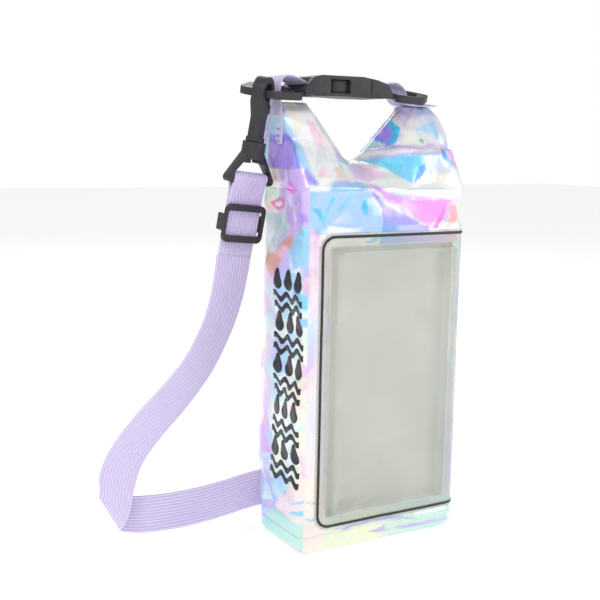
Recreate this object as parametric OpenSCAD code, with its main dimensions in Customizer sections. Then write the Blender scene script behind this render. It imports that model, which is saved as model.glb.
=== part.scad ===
// Roll-top dry bag of pearly film, with a clear window, a buckled carrying handle and a webbing strap.
// Millimetres, +Z up, origin on the ground under the base, in line with the middle of the phone that the
// window holds. The front of the bag is towards -Y.

/* [Bag body] */
// Width of the film body
body_w = 118; // [116:1:124]
// Depth of the film body, front to back
body_d = 66; // [62:1:70]
// Height of the straight walls, up to the shoulder
shoulder_z = 224; // [215:1:230]
// Radius of the body's upright corners
corner_r = 6; // [6:1:8]
// Thickness of the holographic film
film = 0.8; // [0.6:0.1:1]
// Height of the folded base, up to its lap weld
base_h = 12; // [10:1:14]

/* [Window] */
// Width of the raised clear window
window_w = 91; // [86:1:92]
// Height of the raised clear window
window_h = 168; // [160:1:172]
// Height of the window's middle above the ground
window_z = 107; // [105:1:109]
// How far the window stands out of the front wall
window_rise = 9; // [7:0.5:10]
// Width of the flange welded to the front wall
flange_w = 8; // [6:0.5:9]
// Width of the printed frame line
line_w = 1.6; // [1:0.1:2.5]
// Depth of the phone sleeve behind the front wall
sleeve_depth = 8; // [6:0.5:10]

/* [Closure] */
// Height of the ears, where the folded mouth meets the handle
ear_top = 275; // [272:1:276]
// Height of the mouth's fold between the ears
fold_z = 241; // [238:1:244]

/* [Webbing and hardware] */
// Thickness of the webbing
webbing_t = 1.4; // [1.2:0.1:1.5]
// Thickness of the moulded rings
ring_t = 4.4; // [4:0.1:4.6]
// Sideways lean of the rings, in degrees
ring_tilt = 12; // [10:1:13]
// Radius of the hook's swivel stem
stem_r = 3; // [2.8:0.1:3.2]
// Gap between the stem and its bore
stem_gap = 0.05; // [0.02:0.01:0.1]

/* [Hidden] */
$fn = 48;
touch = 0.01;
handle_y = 8;
webbing_w = 25;
front_y = -body_d / 2;
back_y = body_d / 2;
left_x = -68;
right_x = left_x + body_w;
mid_x = left_x + body_w / 2;
flange_t = 0.6;
window_x0 = -50.5;
window_mid_x = window_x0 + window_w / 2;
sleeve_x = [-55.5, 43.5];
wrap_y = -20.5;

// Buckle, closed: the female half at the left and the male half at the right.
buckle_x = [-56, 8];
buckle_z = [279, 291.5];
buckle_half = 16.5;
socket_x = -9;
socket_z = [281.2, 289.2];
socket_half = 13.6;
window_x = [-38, -24];
prong_pivot_x = -6;
prong_y = [handle_y - 10.5, handle_y + 10.5];
prong_pin_r = 1.2;
pocket_h = 8;
bar_z = [281.5, 286.3];
bar_l = 3;
slot_l = 5;

// Rings: middle of each base bar, round which the ring swings.
ring_left_at = [-59, handle_y, 281.6];
ring_right_at = [14, handle_y, 282.5];
ring_pitch = 2.3;

// The hook, slider and upper strap share one leaning line: its foot and its turn.
hang_at = [-87, 4.7, 226.5];
hang_turn = [7, 6, 10];
hook_yaw = -62;
base_bar_z = 3.5;
base_bar_r = 1.8;
collar_z = [17, 25];
collar_r = 7;
loop_z = [54.3, 55.5];
loop_r = 4.5;
loop_outer_r = 8;
hook_t = 7;
gate_pivot = [6.3, 45.5];
slider_z = -24;
strap_gap = 0.1;
upper_strap_end = -44.3;
return_end = -33;

// Lower anchor on the back of the bag.
anchor_z = 23;
anchor_ring_y = back_y + 6;
anchor_bars_x = [-20, -6];
anchor_bar_r = 1.75;
anchor_half = 13;

// The strap's route below the slider: a place and the direction of the webbing's width at each.
strap_route = [
    [[-93, 10, 183], [25, 4, -3]],
    [[-94, 12, 170], [25, 5, -3]],
    [[-96, 15, 154], [25, 6, -4]],
    [[-101, 18, 136], [24, 7, -7]],
    [[-111, 22, 114], [22, 7, -12]],
    [[-125, 27, 94], [20, 6, -16]],
    [[-141, 32, 75], [19, 4, -17]],
    [[-153, 35, 58], [21, 2, -14]],
    [[-159, 36, 43], [23, 0, -11]],
    [[-161, 36, 30], [23, -1, -10]],
    [[-162, 38, 24], [18, -10, -12]],
    [[-162, 42, 20], [9, -15, -18]],
    [[-159, 46, 18], [1, -10, -23]],
    [[-153, 47, 16], [-1, 0, -25]],
    [[-136, 45, 14], [0, 0, -25]],
    [[-112, 43, 14], [0, 0, -25]],
    [[-88, 42, 16], [0, 0, -25]],
    [[-66, 40, 20], [0, 0, -25]],
    [[-46, 39, 22], [0, 0, -25]],
    [[-31, 39, 23], [0, 0, -25]]
];
strap_steps = 4;

// ---- shared shapes ----

// Rectangle with round corners, centred.
module round_rect(w, h, r) {
    square([w - 2 * r, h], center = true);
    square([w, h - 2 * r], center = true);
    for (x = [-1, 1], y = [-1, 1]) translate([x * (w / 2 - r), y * (h / 2 - r)]) circle(r);
}

// Outline of a band of thickness t along a flat path.
function turn90(v) = [-v[1], v[0]];
function unit(v) = v / norm(v);
function path_dir(p, i) = unit(p[min(i + 1, len(p) - 1)] - p[max(i - 1, 0)]);
function band(p, t) = concat(
    [for (i = [0 : len(p) - 1]) p[i] + turn90(path_dir(p, i)) * t / 2],
    [for (i = [len(p) - 1 : -1 : 0]) p[i] - turn90(path_dir(p, i)) * t / 2]
);
function arc(c, r, a0, a1, n) = [for (i = [0 : n]) let (a = a0 + (a1 - a0) * i / n) c + r * [cos(a), sin(a)]];

// Smooth curve through the points p, with n steps between neighbours.
function spline_at(a, b, c, d, t) = 0.5 * ((2 * b) + (c - a) * t + (2 * a - 5 * b + 4 * c - d) * t * t
    + (3 * b - a - 3 * c + d) * t * t * t);
function smooth(p, n) = concat(
    [for (i = [0 : len(p) - 2], k = [0 : n - 1])
        spline_at(p[max(i - 1, 0)], p[i], p[i + 1], p[min(i + 2, len(p) - 1)], k / n)],
    [p[len(p) - 1]]
);

// Webbing that keeps the handle's depth: a path in X and Z, as wide as the webbing.
module handle_webbing(path) {
    translate([0, handle_y + webbing_w / 2, 0]) rotate([90, 0, 0])
        linear_extrude(webbing_w) polygon(band(smooth(path, 4), webbing_t));
}

// Places its children on the leaning line of hook, slider and upper strap.
module hang() {
    translate(hang_at) rotate(hang_turn) children();
}

// ---- the bag ----

// Plan outline of the body, taken in all round.
module body_plan(inset) {
    translate([mid_x, 0]) round_rect(body_w - 2 * inset, body_d - 2 * inset, corner_r - inset);
}

// Thin skin on the outside of the film, from one distance to another outside it, cut to a front view.
module skin(from, to, y1) {
    intersection() {
        linear_extrude(shoulder_z) difference() {
            body_plan(-to);
            body_plan(-from);
        }
        translate([0, y1, 0]) rotate([90, 0, 0]) linear_extrude(30) children();
    }
}

// Front view of a patch round the window, open to the right, where it wraps round the corner.
module patch_view(x0, half_h, r) {
    w = 2 * (right_x - x0);
    translate([x0 + w / 2, window_z]) round_rect(w, 2 * half_h, r);
}

module front_opening() {
    translate([window_mid_x, front_y - 1, window_z]) rotate([-90, 0, 0]) linear_extrude(film + 2)
        round_rect(window_w - 1, window_h - 1, 6);
}

module body_shell() {
    color("lavender") difference() {
        translate([0, 0, base_h]) linear_extrude(shoulder_z - base_h) difference() {
            body_plan(0);
            body_plan(film);
        }
        front_opening();
    }
}

module base_solid(inset, bottom) {
    fillet = 7;
    foot_inset = 2;
    translate([mid_x, 0, 0]) hull() {
        translate([0, 0, bottom]) linear_extrude(touch)
            round_rect(body_w - 2 * fillet, body_d - 2 * fillet, 2, $fn = 32);
        translate([0, 0, foot_inset]) linear_extrude(touch) round_rect(body_w - 2 * (foot_inset + inset),
            body_d - 2 * (foot_inset + inset), corner_r - foot_inset - inset, $fn = 32);
        translate([0, 0, fillet]) linear_extrude(base_h - fillet)
            round_rect(body_w - 2 * inset, body_d - 2 * inset, corner_r - inset, $fn = 32);
    }
}

module base_panel() {
    color("paleturquoise") difference() {
        base_solid(0, 0);
        translate([0, 0, touch]) base_solid(film, film);
    }
}

module base_weld_tape() {
    tape_t = 0.5;
    tape_h = 9;
    gap = film + 0.1;
    color("gainsboro") translate([0, 0, base_h - 3]) linear_extrude(tape_h) difference() {
        body_plan(gap);
        body_plan(gap + tape_t);
    }
}

module back_seam() {
    seam_w = 12;
    seam_x = 37.5;
    color("lavender") translate([seam_x - seam_w / 2, back_y, base_h + 1])
        cube([seam_w, 0.6, shoulder_z - base_h - 2]);
}

module window_panel() {
    wall = 0.8;
    color("azure", 0.5) {
        difference() {
            skin(0, flange_t, wrap_y) patch_view(window_x0 - flange_w, window_h / 2 + flange_w, 11);
            translate([window_mid_x, front_y + 1, window_z]) rotate([90, 0, 0]) linear_extrude(3)
                round_rect(window_w - 2 * wall, window_h - 2 * wall, 5.2);
        }
        translate([window_mid_x, front_y, window_z]) rotate([90, 0, 0]) {
            linear_extrude(window_rise) difference() {
                round_rect(window_w, window_h, 6);
                round_rect(window_w - 2 * wall, window_h - 2 * wall, 5.2);
            }
            translate([0, 0, window_rise]) linear_extrude(wall) round_rect(window_w, window_h, 6);
        }
    }
}

module window_frame_print() {
    margin = 1.5;
    print_t = 0.2;
    line_y = wrap_y - margin;
    x0 = window_x0 - flange_w + margin;
    half_h = window_h / 2 + flange_w - margin;
    color("black") {
        skin(flange_t, flange_t + print_t, line_y) difference() {
            patch_view(x0, half_h, 9);
            patch_view(x0 + line_w, half_h - line_w, 9 - line_w);
        }
        translate([right_x + flange_t, line_y - line_w, window_z - half_h]) cube([print_t, line_w, 2 * half_h]);
    }
}

// Plain marks for the side: a pair of waves, and a row of three drops.
module wave_mark() {
    wave = [for (i = [0 : 28]) [i - 14, 1.6 * sin(i * 36)]];
    for (z = [-3, 3]) translate([0, z]) polygon(band(wave, 3));
}

module drop_mark() {
    for (y = [-9.5, 0, 9.5]) translate([y, -1.5]) {
        circle(3.6);
        polygon([[-3.3, 1.4], [0, 7.2], [3.3, 1.4]]);
    }
}

module side_print() {
    marks = 10;
    pitch = 13.2;
    color("black") translate([left_x, -11.5, 49.5]) rotate([90, 0, -90]) linear_extrude(0.2)
        for (i = [0 : marks - 1]) translate([0, i * pitch]) {
            if (i % 2 == 0) wave_mark();
            if (i % 2 == 1) drop_mark();
        }
}

module phone_sleeve() {
    sheet = 0.6;
    y0 = front_y + film;
    w = sleeve_x[1] - sleeve_x[0];
    h = window_h + 4;
    color("silver") translate([sleeve_x[0] + w / 2, y0, window_z - 2]) rotate([-90, 0, 0]) {
        linear_extrude(sleeve_depth) difference() {
            round_rect(w, h, 6);
            round_rect(w - 2 * sheet, h - 2 * sheet, 6 - sheet);
            translate([0, -h / 2]) square([w - 12, 8], center = true);
        }
        translate([0, 0, sleeve_depth]) linear_extrude(sheet) round_rect(w, h, 6);
    }
}

// One tent of the folded mouth: from the shoulder up to a narrow ear.
module ear_tent(x0, x1, ear0, ear1, wall) {
    half = body_d / 2 - wall;
    ear_half = 5 - wall * 0.8;
    top = ear_top - wall * 2;
    hull() {
        translate([x0 + wall, -half, shoulder_z]) cube([x1 - x0 - 2 * wall, 2 * half, 1]);
        translate([ear0 + wall, handle_y - ear_half, top - 1]) cube([ear1 - ear0 - 2 * wall, 2 * ear_half, 1]);
    }
}

module fold_ridge(wall) {
    half = body_d / 2 - wall;
    ridge_half = 4 - wall * 0.8;
    hull() {
        translate([left_x + wall, -half, shoulder_z]) cube([body_w - 2 * wall, 2 * half, 1]);
        translate([-34 + wall, 3 - ridge_half, fold_z - 1 - wall * 2])
            cube([28 - 2 * wall, 2 * ridge_half, 1]);
    }
}

module mouth_solid(wall) {
    ear_tent(left_x, -9, -65, -48, wall);
    ear_tent(-34, right_x, 24, 45, wall);
    fold_ridge(wall);
}

module mouth_fold() {
    color("plum") difference() {
        mouth_solid(0);
        translate([0, 0, -touch * 2]) mouth_solid(1.2);
    }
}

module mouth_stiffener() {
    t = 1;
    color("white") translate([0, 4.5 + t, 0]) rotate([90, 0, 0]) linear_extrude(t)
        polygon([[-60, 254], [-51, 254], [-29, 235], [-9, 235], [25, 257], [39, 257], [40, 246],
            [20, 230], [-45, 230], [-60, 240]]);
}

module ear_webbing_left() {
    color("thistle") handle_webbing([[-68.7, 250], [-68.5, 262], [-69.2, 271], [-70.2, 278], [-70.3, 283.4],
        [-69, 287.8], [-65.5, 290.3], [-60, 289.8], [-54.5, 287.8], [-51.3, 286], [-50.5, 282.2]]);
}

module ear_webbing_right() {
    color("thistle") handle_webbing([[45, 275.95], [38, 275.95], [30, 275.95], [25, 277.4], [22, 281], [19.5, 285.4],
        [14.5, 288.8], [9, 288.9], [5.6, 287.5], [3.2, 285.4], [2.6, 281.8]]);
}

// Short rows of raised thread that hold the webbing down.
module bartack_stitching() {
    row = 0.8;
    color("mediumpurple") {
        for (z = [252, 259]) translate([left_x - 1.9, handle_y - 10, z]) cube([0.4, 20, row]);
        for (x = [35, 42]) translate([x, handle_y - 9, ear_top + 1.67]) cube([row, 18, 0.2]);
        for (x = [4, 14]) translate([x, back_y + 5, anchor_z - 10]) cube([row, 0.3, 20]);
    }
}

// ---- handle buckle ----

module block(x, y, z) {
    translate([x[0], y[0], z[0]]) cube([x[1] - x[0], y[1] - y[0], z[1] - z[0]]);
}

// Side view of the closed buckle's outline, rounded at its ends and bowed down to the right.
module buckle_outline() {
    polygon(concat(
        arc([-53, 284], 3, 180, 270, 6) - [for (i = [0 : 6]) [0, 1.5]],
        [[-48, buckle_z[0]], [-30, 279.4], [-12, buckle_z[0]], [6, 279.2]],
        arc([6, 281.4], 2, -80, 60, 6),
        [[4, 287.6], [-4, 290], [-14, buckle_z[1]], [-44, buckle_z[1]], [-50, 290]]
    ));
}

module buckle_slab(x0, x1) {
    translate([0, handle_y + buckle_half, 0]) rotate([90, 0, 0]) linear_extrude(2 * buckle_half)
        intersection() {
            buckle_outline();
            translate([x0, 270]) square([x1 - x0, 30]);
        }
}

module buckle_female() {
    inner = [handle_y - socket_half, handle_y + socket_half];
    web = [handle_y - 12.9, handle_y + 12.9];
    color([0.2, 0.2, 0.2]) difference() {
        buckle_slab(buckle_x[0], socket_x);
        block([-44, socket_x + 1], inner, socket_z);
        block(window_x, [handle_y - buckle_half - 1, handle_y + buckle_half + 1], socket_z);
        block([buckle_x[0] + bar_l, buckle_x[0] + bar_l + slot_l], web, [270, 300]);
        block([buckle_x[0] - 1, buckle_x[0] + bar_l + 1], web, [bar_z[1], 300]);
        block([buckle_x[0] - 1, buckle_x[0] + bar_l + 1], web, [270, bar_z[0] - 0.5]);
    }
}

module buckle_male() {
    web = [handle_y - 12.9, handle_y + 12.9];
    x0 = socket_x + 0.3;
    color([0.17, 0.17, 0.17]) {
        difference() {
            buckle_slab(x0, buckle_x[1]);
            block([buckle_x[1] - bar_l - slot_l, buckle_x[1] - bar_l], web, [270, 300]);
            block([buckle_x[1] - bar_l - 1, buckle_x[1] + 1], web, [bar_z[1], 300]);
            for (y = prong_y) {
                translate([prong_pivot_x, y, socket_z[0]]) cylinder(h = pocket_h, r = 3);
                translate([x0 - 1, y - 3, socket_z[0]]) cube([prong_pivot_x - x0 + 1, 6, pocket_h]);
            }
        }
        block([-34, x0 + 0.2], [handle_y - 1.4, handle_y + 1.4], [socket_z[0] + 0.8, socket_z[1] - 0.8]);
        for (y = prong_y) translate([prong_pivot_x, y, socket_z[0] - 0.2])
            cylinder(h = pocket_h + 0.4, r = prong_pin_r);
    }
}

// One prong, on the +Y side of the buckle's middle: a flexing arm with a long ramped catch whose round
// back is the push button in the buckle's side window.
module prong() {
    z0 = socket_z[0] + 0.4;
    h = pocket_h - 0.8;
    translate([0, 0, z0]) difference() {
        union() {
            linear_extrude(h) polygon([[-37, 8], [-37, 11.5], [-35.6, 13.6], [-33.5, 14.6], [-24, 13.35],
                [-6.5, 12.4], [-6.5, 8.6], [-18, 9], [-30, 8]]);
            translate([prong_pivot_x, 10.5, 0]) cylinder(h = h, r = 2.7);
        }
        translate([prong_pivot_x, 10.5, -1]) cylinder(h = h + 2, r = prong_pin_r + 0.05);
    }
}

module buckle_prong_front() {
    color([0.23, 0.23, 0.23]) translate([0, handle_y, 0]) mirror([0, 1, 0]) prong();
}

module buckle_prong_rear() {
    color([0.23, 0.23, 0.23]) translate([0, handle_y, 0]) prong();
}

// ---- rings ----

// Flat ring with a round bar on the Y axis and its thick tip towards +X.
module ring() {
    eye_half = 13.6;
    bar_r = ring_t / 2 - 0.1;
    translate([0, 0, -ring_t / 2]) linear_extrude(ring_t) difference() {
        hull() {
            for (s = [-1, 1]) translate([1.8, 14 * s]) circle(4, $fn = 32);
            for (s = [-1, 1]) translate([15, 14 * s]) circle(4, $fn = 32);
            translate([24, 0]) circle(7, $fn = 32);
        }
        hull() {
            for (s = [-1, 1]) translate([0, (eye_half - 1.5) * s]) circle(1.5, $fn = 32);
            for (s = [-1, 1]) translate([12.5, (eye_half - 3) * s]) circle(3, $fn = 32);
            translate([20, 0]) circle(3, $fn = 32);
        }
        translate([-10, -eye_half]) square([10, 2 * eye_half]);
    }
    translate([0, eye_half + 1, 0]) rotate([90, 0, 0]) cylinder(h = 2 * eye_half + 2, r = bar_r);
}

module ring_left() {
    color([0.2, 0.2, 0.2]) translate(ring_left_at) rotate([-ring_tilt, 0, 180]) ring();
}

module ring_right() {
    color([0.2, 0.2, 0.2]) translate(ring_right_at) rotate([ring_tilt, ring_pitch, 0]) ring();
}

// ---- hook and slider ----

module hook_base() {
    half = 16.4;
    color([0.2, 0.2, 0.2]) hang() difference() {
        union() {
            translate([0, 3.5, 0]) rotate([90, 0, 0]) linear_extrude(7) difference() {
                hull() {
                    for (s = [-1, 1]) translate([s * (half - 2.6), 2.6]) circle(2.6, $fn = 32);
                    translate([-6, 15]) square([12, 4]);
                }
                polygon([[-13, -1], [-13, 6.5], [-8, 12.5], [8, 12.5], [13, 6.5], [13, -1]]);
            }
            translate([0, 0, collar_z[0] - 2]) cylinder(h = collar_z[1] - collar_z[0] + 2, r = collar_r);
            translate([-half + 2, 0, base_bar_z]) rotate([0, 90, 0])
                cylinder(h = 2 * half - 4, r = base_bar_r);
        }
        translate([0, 0, collar_z[0] - 3]) cylinder(h = 20, r = stem_r + stem_gap);
        translate([0, 0, 10]) cylinder(h = collar_z[0] - 10, r = 4.6);
    }
}

module hook_profile() {
    difference() {
        union() {
            translate([-4, 26]) square([8, 22]);
            translate([-loop_outer_r, 48]) square([2 * loop_outer_r, loop_z[1] - 48]);
            polygon([[-4, 40], [-loop_outer_r, 48], [loop_outer_r, 48], [4, 40]]);
            translate([0, loop_z[1]]) circle(loop_outer_r);
        }
        translate([0, loop_z[0]]) circle(loop_r);
        translate([0, loop_z[1]]) circle(loop_r);
        translate([-loop_r, loop_z[0]]) square([2 * loop_r, loop_z[1] - loop_z[0]]);
        translate([2, 43.5]) square([7, loop_z[1] - 43.5]);
    }
}

module hook_body() {
    color([0.22, 0.22, 0.22]) hang() rotate([0, 0, hook_yaw]) {
        translate([-hook_t / 2, 0, 0]) rotate([90, 0, 90]) linear_extrude(hook_t) hook_profile();
        translate([0, 0, collar_z[1] + 0.2]) cylinder(h = 2.6, r = 5.6);
        translate([0, 0, collar_z[0] - 2]) cylinder(h = collar_z[1] - collar_z[0] + 3, r = stem_r);
        translate([0, 0, collar_z[0] - 2.3]) cylinder(h = 2.1, r = 4.3);
        translate([-hook_t / 2, gate_pivot[0] - 0.6, gate_pivot[1]]) rotate([0, 90, 0])
            cylinder(h = hook_t, r = 0.8);
        for (s = [-1, 1]) translate([s * (hook_t / 2 - 0.5) - 0.5, 2, 42.5])
            cube([1, gate_pivot[0] - 1.5, 4]);
    }
}

module hook_gate() {
    gate_t = hook_t - 2.4;
    color([0.25, 0.25, 0.25]) hang() rotate([0, 0, hook_yaw])
        translate([-gate_t / 2, gate_pivot[0] - 0.6, gate_pivot[1]]) rotate([90, 0, 90]) difference() {
            linear_extrude(gate_t) {
                circle(1.7);
                translate([-0.8, 0]) square([2.3, 9.6]);
                polygon([[0.5, -1.5], [4, -0.4], [4, 1.2], [1.3, 3]]);
            }
            translate([0, 0, -1]) cylinder(h = gate_t + 2, r = 0.85);
        }
}

module slider() {
    outer = [29.6, 23];
    window = [25.8, 15];
    color([0.2, 0.2, 0.2]) hang() translate([0, 0, slider_z]) {
        translate([0, -1.7, 0]) rotate([90, 0, 0]) linear_extrude(2) difference() {
            round_rect(outer[0], outer[1], 4);
            round_rect(window[0], window[1], 1.5);
        }
        for (s = [-1, 1]) translate([s * 13.85 - 0.95, -1.8, -5]) cube([1.9, 5.8, 10]);
        translate([-14, 2.9, 0]) rotate([0, 90, 0]) cylinder(h = 28, r = 1.1);
    }
}

// ---- strap ----

// The webbing's doubled top: down from behind the hook's bar, and the return layer in front.
module strap_return() {
    front_y0 = -(webbing_t + strap_gap) / 2;
    back_y0 = -front_y0;
    bend_r = base_bar_r + 1;
    path = concat(
        [[front_y0, return_end], [front_y0, -20], [front_y0, -7], [-1.6, -1.5]],
        arc([0, base_bar_z], bend_r, 180, 0, 10),
        [[1.6, -1.5], [back_y0, -7], [back_y0, -20], [back_y0, upper_strap_end]]
    );
    color("thistle") hang() translate([-webbing_w / 2, 0, 0]) rotate([90, 0, 90])
        linear_extrude(webbing_w) polygon(band(path, webbing_t));
}

strap_places = smooth([for (r = strap_route) r[0]], strap_steps);
strap_widths = smooth([for (r = strap_route) r[1]], strap_steps);

// Four corners and edge middles of the webbing's section at step i.
function strap_ring(i) = let (
    along = path_dir(strap_places, i),
    wide = unit(strap_widths[i] - (strap_widths[i] * along) * along),
    thick = cross(along, wide),
    c = strap_places[i],
    w = wide * webbing_w / 2,
    t = thick * webbing_t / 2
) [c - w - t * 0.6, c - w * 0.97 - t, c + w * 0.97 - t, c + w - t * 0.6,
   c + w + t * 0.6, c + w * 0.97 + t, c - w * 0.97 + t, c - w + t * 0.6];

module strap() {
    n = len(strap_places);
    points = [for (i = [0 : n - 1], p = strap_ring(i)) p];
    sides = [for (i = [0 : n - 2], k = [0 : 7])
        [i * 8 + k, i * 8 + (k + 1) % 8, (i + 1) * 8 + (k + 1) % 8, (i + 1) * 8 + k]];
    ends = [[for (k = [7 : -1 : 0]) k], [for (k = [0 : 7]) (n - 1) * 8 + k]];
    color("thistle") polyhedron(points, concat(sides, ends), convexity = 10);
}

// A loop of webbing round an upright bar, seen from above.
module loop_band(path) {
    translate([0, 0, anchor_z - webbing_w / 2]) linear_extrude(webbing_w) polygon(band(path, webbing_t));
}

module strap_end_loop() {
    bend_r = 4.4;
    bar = [anchor_bars_x[0] + 1.5, anchor_ring_y];
    color("thistle") loop_band(concat(
        [[-31.2, anchor_ring_y], [-28, anchor_ring_y - 1]],
        arc(bar, bend_r, 250, 470, 12),
        [[-26, anchor_ring_y + 3], [-33, anchor_ring_y + 1.6], [-44, anchor_ring_y + 1.6]]
    ));
}

// ---- lower anchor ----

module anchor_patch() {
    patch = [46, 38];
    patch_t = 0.8;
    color("lavender") translate([8, back_y + patch_t, anchor_z]) rotate([90, 0, 0])
        linear_extrude(patch_t) round_rect(patch[0], patch[1], 5);
}

module anchor_loop() {
    bend_r = anchor_bar_r + 1.1;
    bar = [anchor_bars_x[1], anchor_ring_y];
    base_y = back_y + 1.6;
    color("thistle") loop_band(concat(
        [[20, base_y], [0, base_y], [-3, base_y + 0.4]],
        arc(bar, bend_r, 290, 70, 14),
        [[-2, anchor_ring_y + 1.2], [2, back_y + 3.4], [6, back_y + 3.1], [20, back_y + 3.1]]
    ));
}

module anchor_ring() {
    bars_gap = anchor_bars_x[1] - anchor_bars_x[0];
    color([0.2, 0.2, 0.2]) {
        for (x = anchor_bars_x) translate([x, anchor_ring_y, anchor_z - anchor_half - 1])
            cylinder(h = 2 * anchor_half + 2, r = anchor_bar_r);
        for (s = [-1, 1]) translate([anchor_bars_x[0], anchor_ring_y, anchor_z + s * (anchor_half + 1.5)])
            rotate([0, 90, 0]) {
                cylinder(h = bars_gap, r = anchor_bar_r);
                sphere(anchor_bar_r);
                translate([0, 0, bars_gap]) sphere(anchor_bar_r);
            }
    }
}

body_shell();
base_panel();
base_weld_tape();
back_seam();
window_panel();
window_frame_print();
side_print();
phone_sleeve();
mouth_fold();
mouth_stiffener();
ear_webbing_left();
ear_webbing_right();
bartack_stitching();
buckle_female();
buckle_male();
buckle_prong_front();
buckle_prong_rear();
ring_left();
ring_right();
hook_base();
hook_body();
hook_gate();
slider();
strap();
strap_return();
strap_end_loop();
anchor_patch();
anchor_loop();
anchor_ring();
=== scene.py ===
"""Roll-top dry bag of pearly film, with a clear phone window, a buckled handle and a webbing strap.

Lengths in the tables are millimetres in the bag's own frame: +Z up, the front towards -Y.
"""

import logging
import math
from collections.abc import Callable
from dataclasses import dataclass, field
from enum import Enum
from functools import cached_property

import bpy
import numpy as np
from mathutils import Matrix, Vector


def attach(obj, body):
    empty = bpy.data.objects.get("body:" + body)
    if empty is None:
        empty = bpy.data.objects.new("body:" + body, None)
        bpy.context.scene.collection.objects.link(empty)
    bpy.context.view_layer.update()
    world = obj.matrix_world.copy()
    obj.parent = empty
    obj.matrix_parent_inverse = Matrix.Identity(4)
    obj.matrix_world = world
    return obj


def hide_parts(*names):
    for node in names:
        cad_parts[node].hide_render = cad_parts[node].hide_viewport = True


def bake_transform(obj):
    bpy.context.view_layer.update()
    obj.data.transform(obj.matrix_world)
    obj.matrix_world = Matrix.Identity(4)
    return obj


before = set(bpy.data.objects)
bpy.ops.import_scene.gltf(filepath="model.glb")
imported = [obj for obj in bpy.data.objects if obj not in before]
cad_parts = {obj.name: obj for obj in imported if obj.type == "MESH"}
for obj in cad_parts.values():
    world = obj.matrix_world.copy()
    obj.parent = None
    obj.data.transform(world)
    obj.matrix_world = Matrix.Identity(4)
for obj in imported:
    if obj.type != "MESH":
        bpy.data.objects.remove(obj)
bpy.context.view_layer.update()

MM = 0.001
LOG = logging.getLogger("dry_bag")
Point = tuple[float, float]
Colour = tuple[int, int, int]


# ---- numbers and small shapes ----


def linear(colour: Colour) -> np.ndarray:
    """Scene-linear colour of a display colour.

    Args:
        colour: red, green and blue from 0 to 255.

    Returns:
        Three numbers from 0 to 1.
    """
    c = np.array(colour, float) / 255
    return np.where(c <= 0.04045, c / 12.92, ((c + 0.055) / 1.055) ** 2.4)


def smoothstep(low: float, high: float, x: np.ndarray) -> np.ndarray:
    """Smooth rise from 0 at low to 1 at high."""
    t = np.clip((x - low) / (high - low), 0, 1)
    return t * t * (3 - 2 * t)


def catmull_rom(points: np.ndarray, steps: int) -> np.ndarray:
    """Smooth curve through points.

    Args:
        points: the points, one a row.
        steps: pieces between two neighbours.

    Returns:
        The curve's points, the given ones among them.
    """
    p = np.asarray(points, float)
    out = []
    for i in range(len(p) - 1):
        a, b, c, d = p[max(i - 1, 0)], p[i], p[i + 1], p[min(i + 2, len(p) - 1)]
        for k in range(steps):
            t = k / steps
            out.append(0.5 * (2 * b + (c - a) * t + (2 * a - 5 * b + 4 * c - d) * t**2
                              + (3 * b - a - 3 * c + d) * t**3))
    return np.array(out + [p[-1]])


def arc(centre: Point, radius: float, start: float, end: float, steps: int) -> list[Point]:
    """Points on a round arc, with angles in degrees."""
    angles = np.radians(np.linspace(start, end, steps + 1))
    return [(centre[0] + radius * math.cos(a), centre[1] + radius * math.sin(a)) for a in angles]


def spaced(breaks: list[float], step: float) -> np.ndarray:
    """Numbers that hold every break and are at most a step apart."""
    out = [breaks[0]]
    for a, b in zip(breaks, breaks[1:]):
        n = max(1, math.ceil(abs(b - a) / step - 1e-6))
        out += list(np.linspace(a, b, n + 1)[1:])
    return np.array(out)


def unit(rows: np.ndarray) -> np.ndarray:
    """Rows of length 1."""
    return rows / np.maximum(np.linalg.norm(rows, axis=-1, keepdims=True), 1e-9)


def new_piece(name: str, points: np.ndarray, faces: list) -> bpy.types.Object:
    """Makes a smoothly shaded mesh object at the origin.

    Args:
        name: the piece's name.
        points: vertices in millimetres.
        faces: vertex numbers of each face.

    Returns:
        The linked object.
    """
    mesh = bpy.data.meshes.new(name)
    mesh.from_pydata([tuple(p) for p in np.asarray(points, float) * MM], [], faces)
    mesh.validate()
    mesh.polygons.foreach_set("use_smooth", [True] * len(mesh.polygons))
    piece = bpy.data.objects.new(name, mesh)
    bpy.context.collection.objects.link(piece)
    return piece


def only(piece: bpy.types.Object) -> None:
    """Deselects everything and makes one piece the active, selected one."""
    bpy.ops.object.select_all(action="DESELECT")
    piece.select_set(True)
    bpy.context.view_layer.objects.active = piece


def modify(piece: bpy.types.Object, kind: str, **settings: object) -> None:
    """Adds a modifier and applies it.

    Args:
        piece: the object.
        kind: the modifier's type.
        **settings: the modifier's properties.
    """
    only(piece)
    modifier = piece.modifiers.new(kind.title(), kind)
    for key, value in settings.items():
        setattr(modifier, key, value)
    bpy.ops.object.modifier_apply(modifier=modifier.name)


def drop_loose(piece: bpy.types.Object) -> None:
    """Deletes the points that no face uses."""
    only(piece)
    bpy.ops.object.mode_set(mode="EDIT")
    bpy.ops.mesh.select_all(action="SELECT")
    bpy.ops.mesh.delete_loose(use_verts=True, use_edges=True, use_faces=False)
    bpy.ops.object.mode_set(mode="OBJECT")


def clean(piece: bpy.types.Object, merge: float = 0.01) -> None:
    """Merges doubles and turns all faces outwards.

    Args:
        piece: the object.
        merge: distance in millimetres within which points become one.
    """
    only(piece)
    bpy.ops.object.mode_set(mode="EDIT")
    bpy.ops.mesh.select_all(action="SELECT")
    bpy.ops.mesh.remove_doubles(threshold=merge * MM)
    bpy.ops.mesh.normals_make_consistent(inside=False)
    bpy.ops.object.mode_set(mode="OBJECT")


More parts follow.
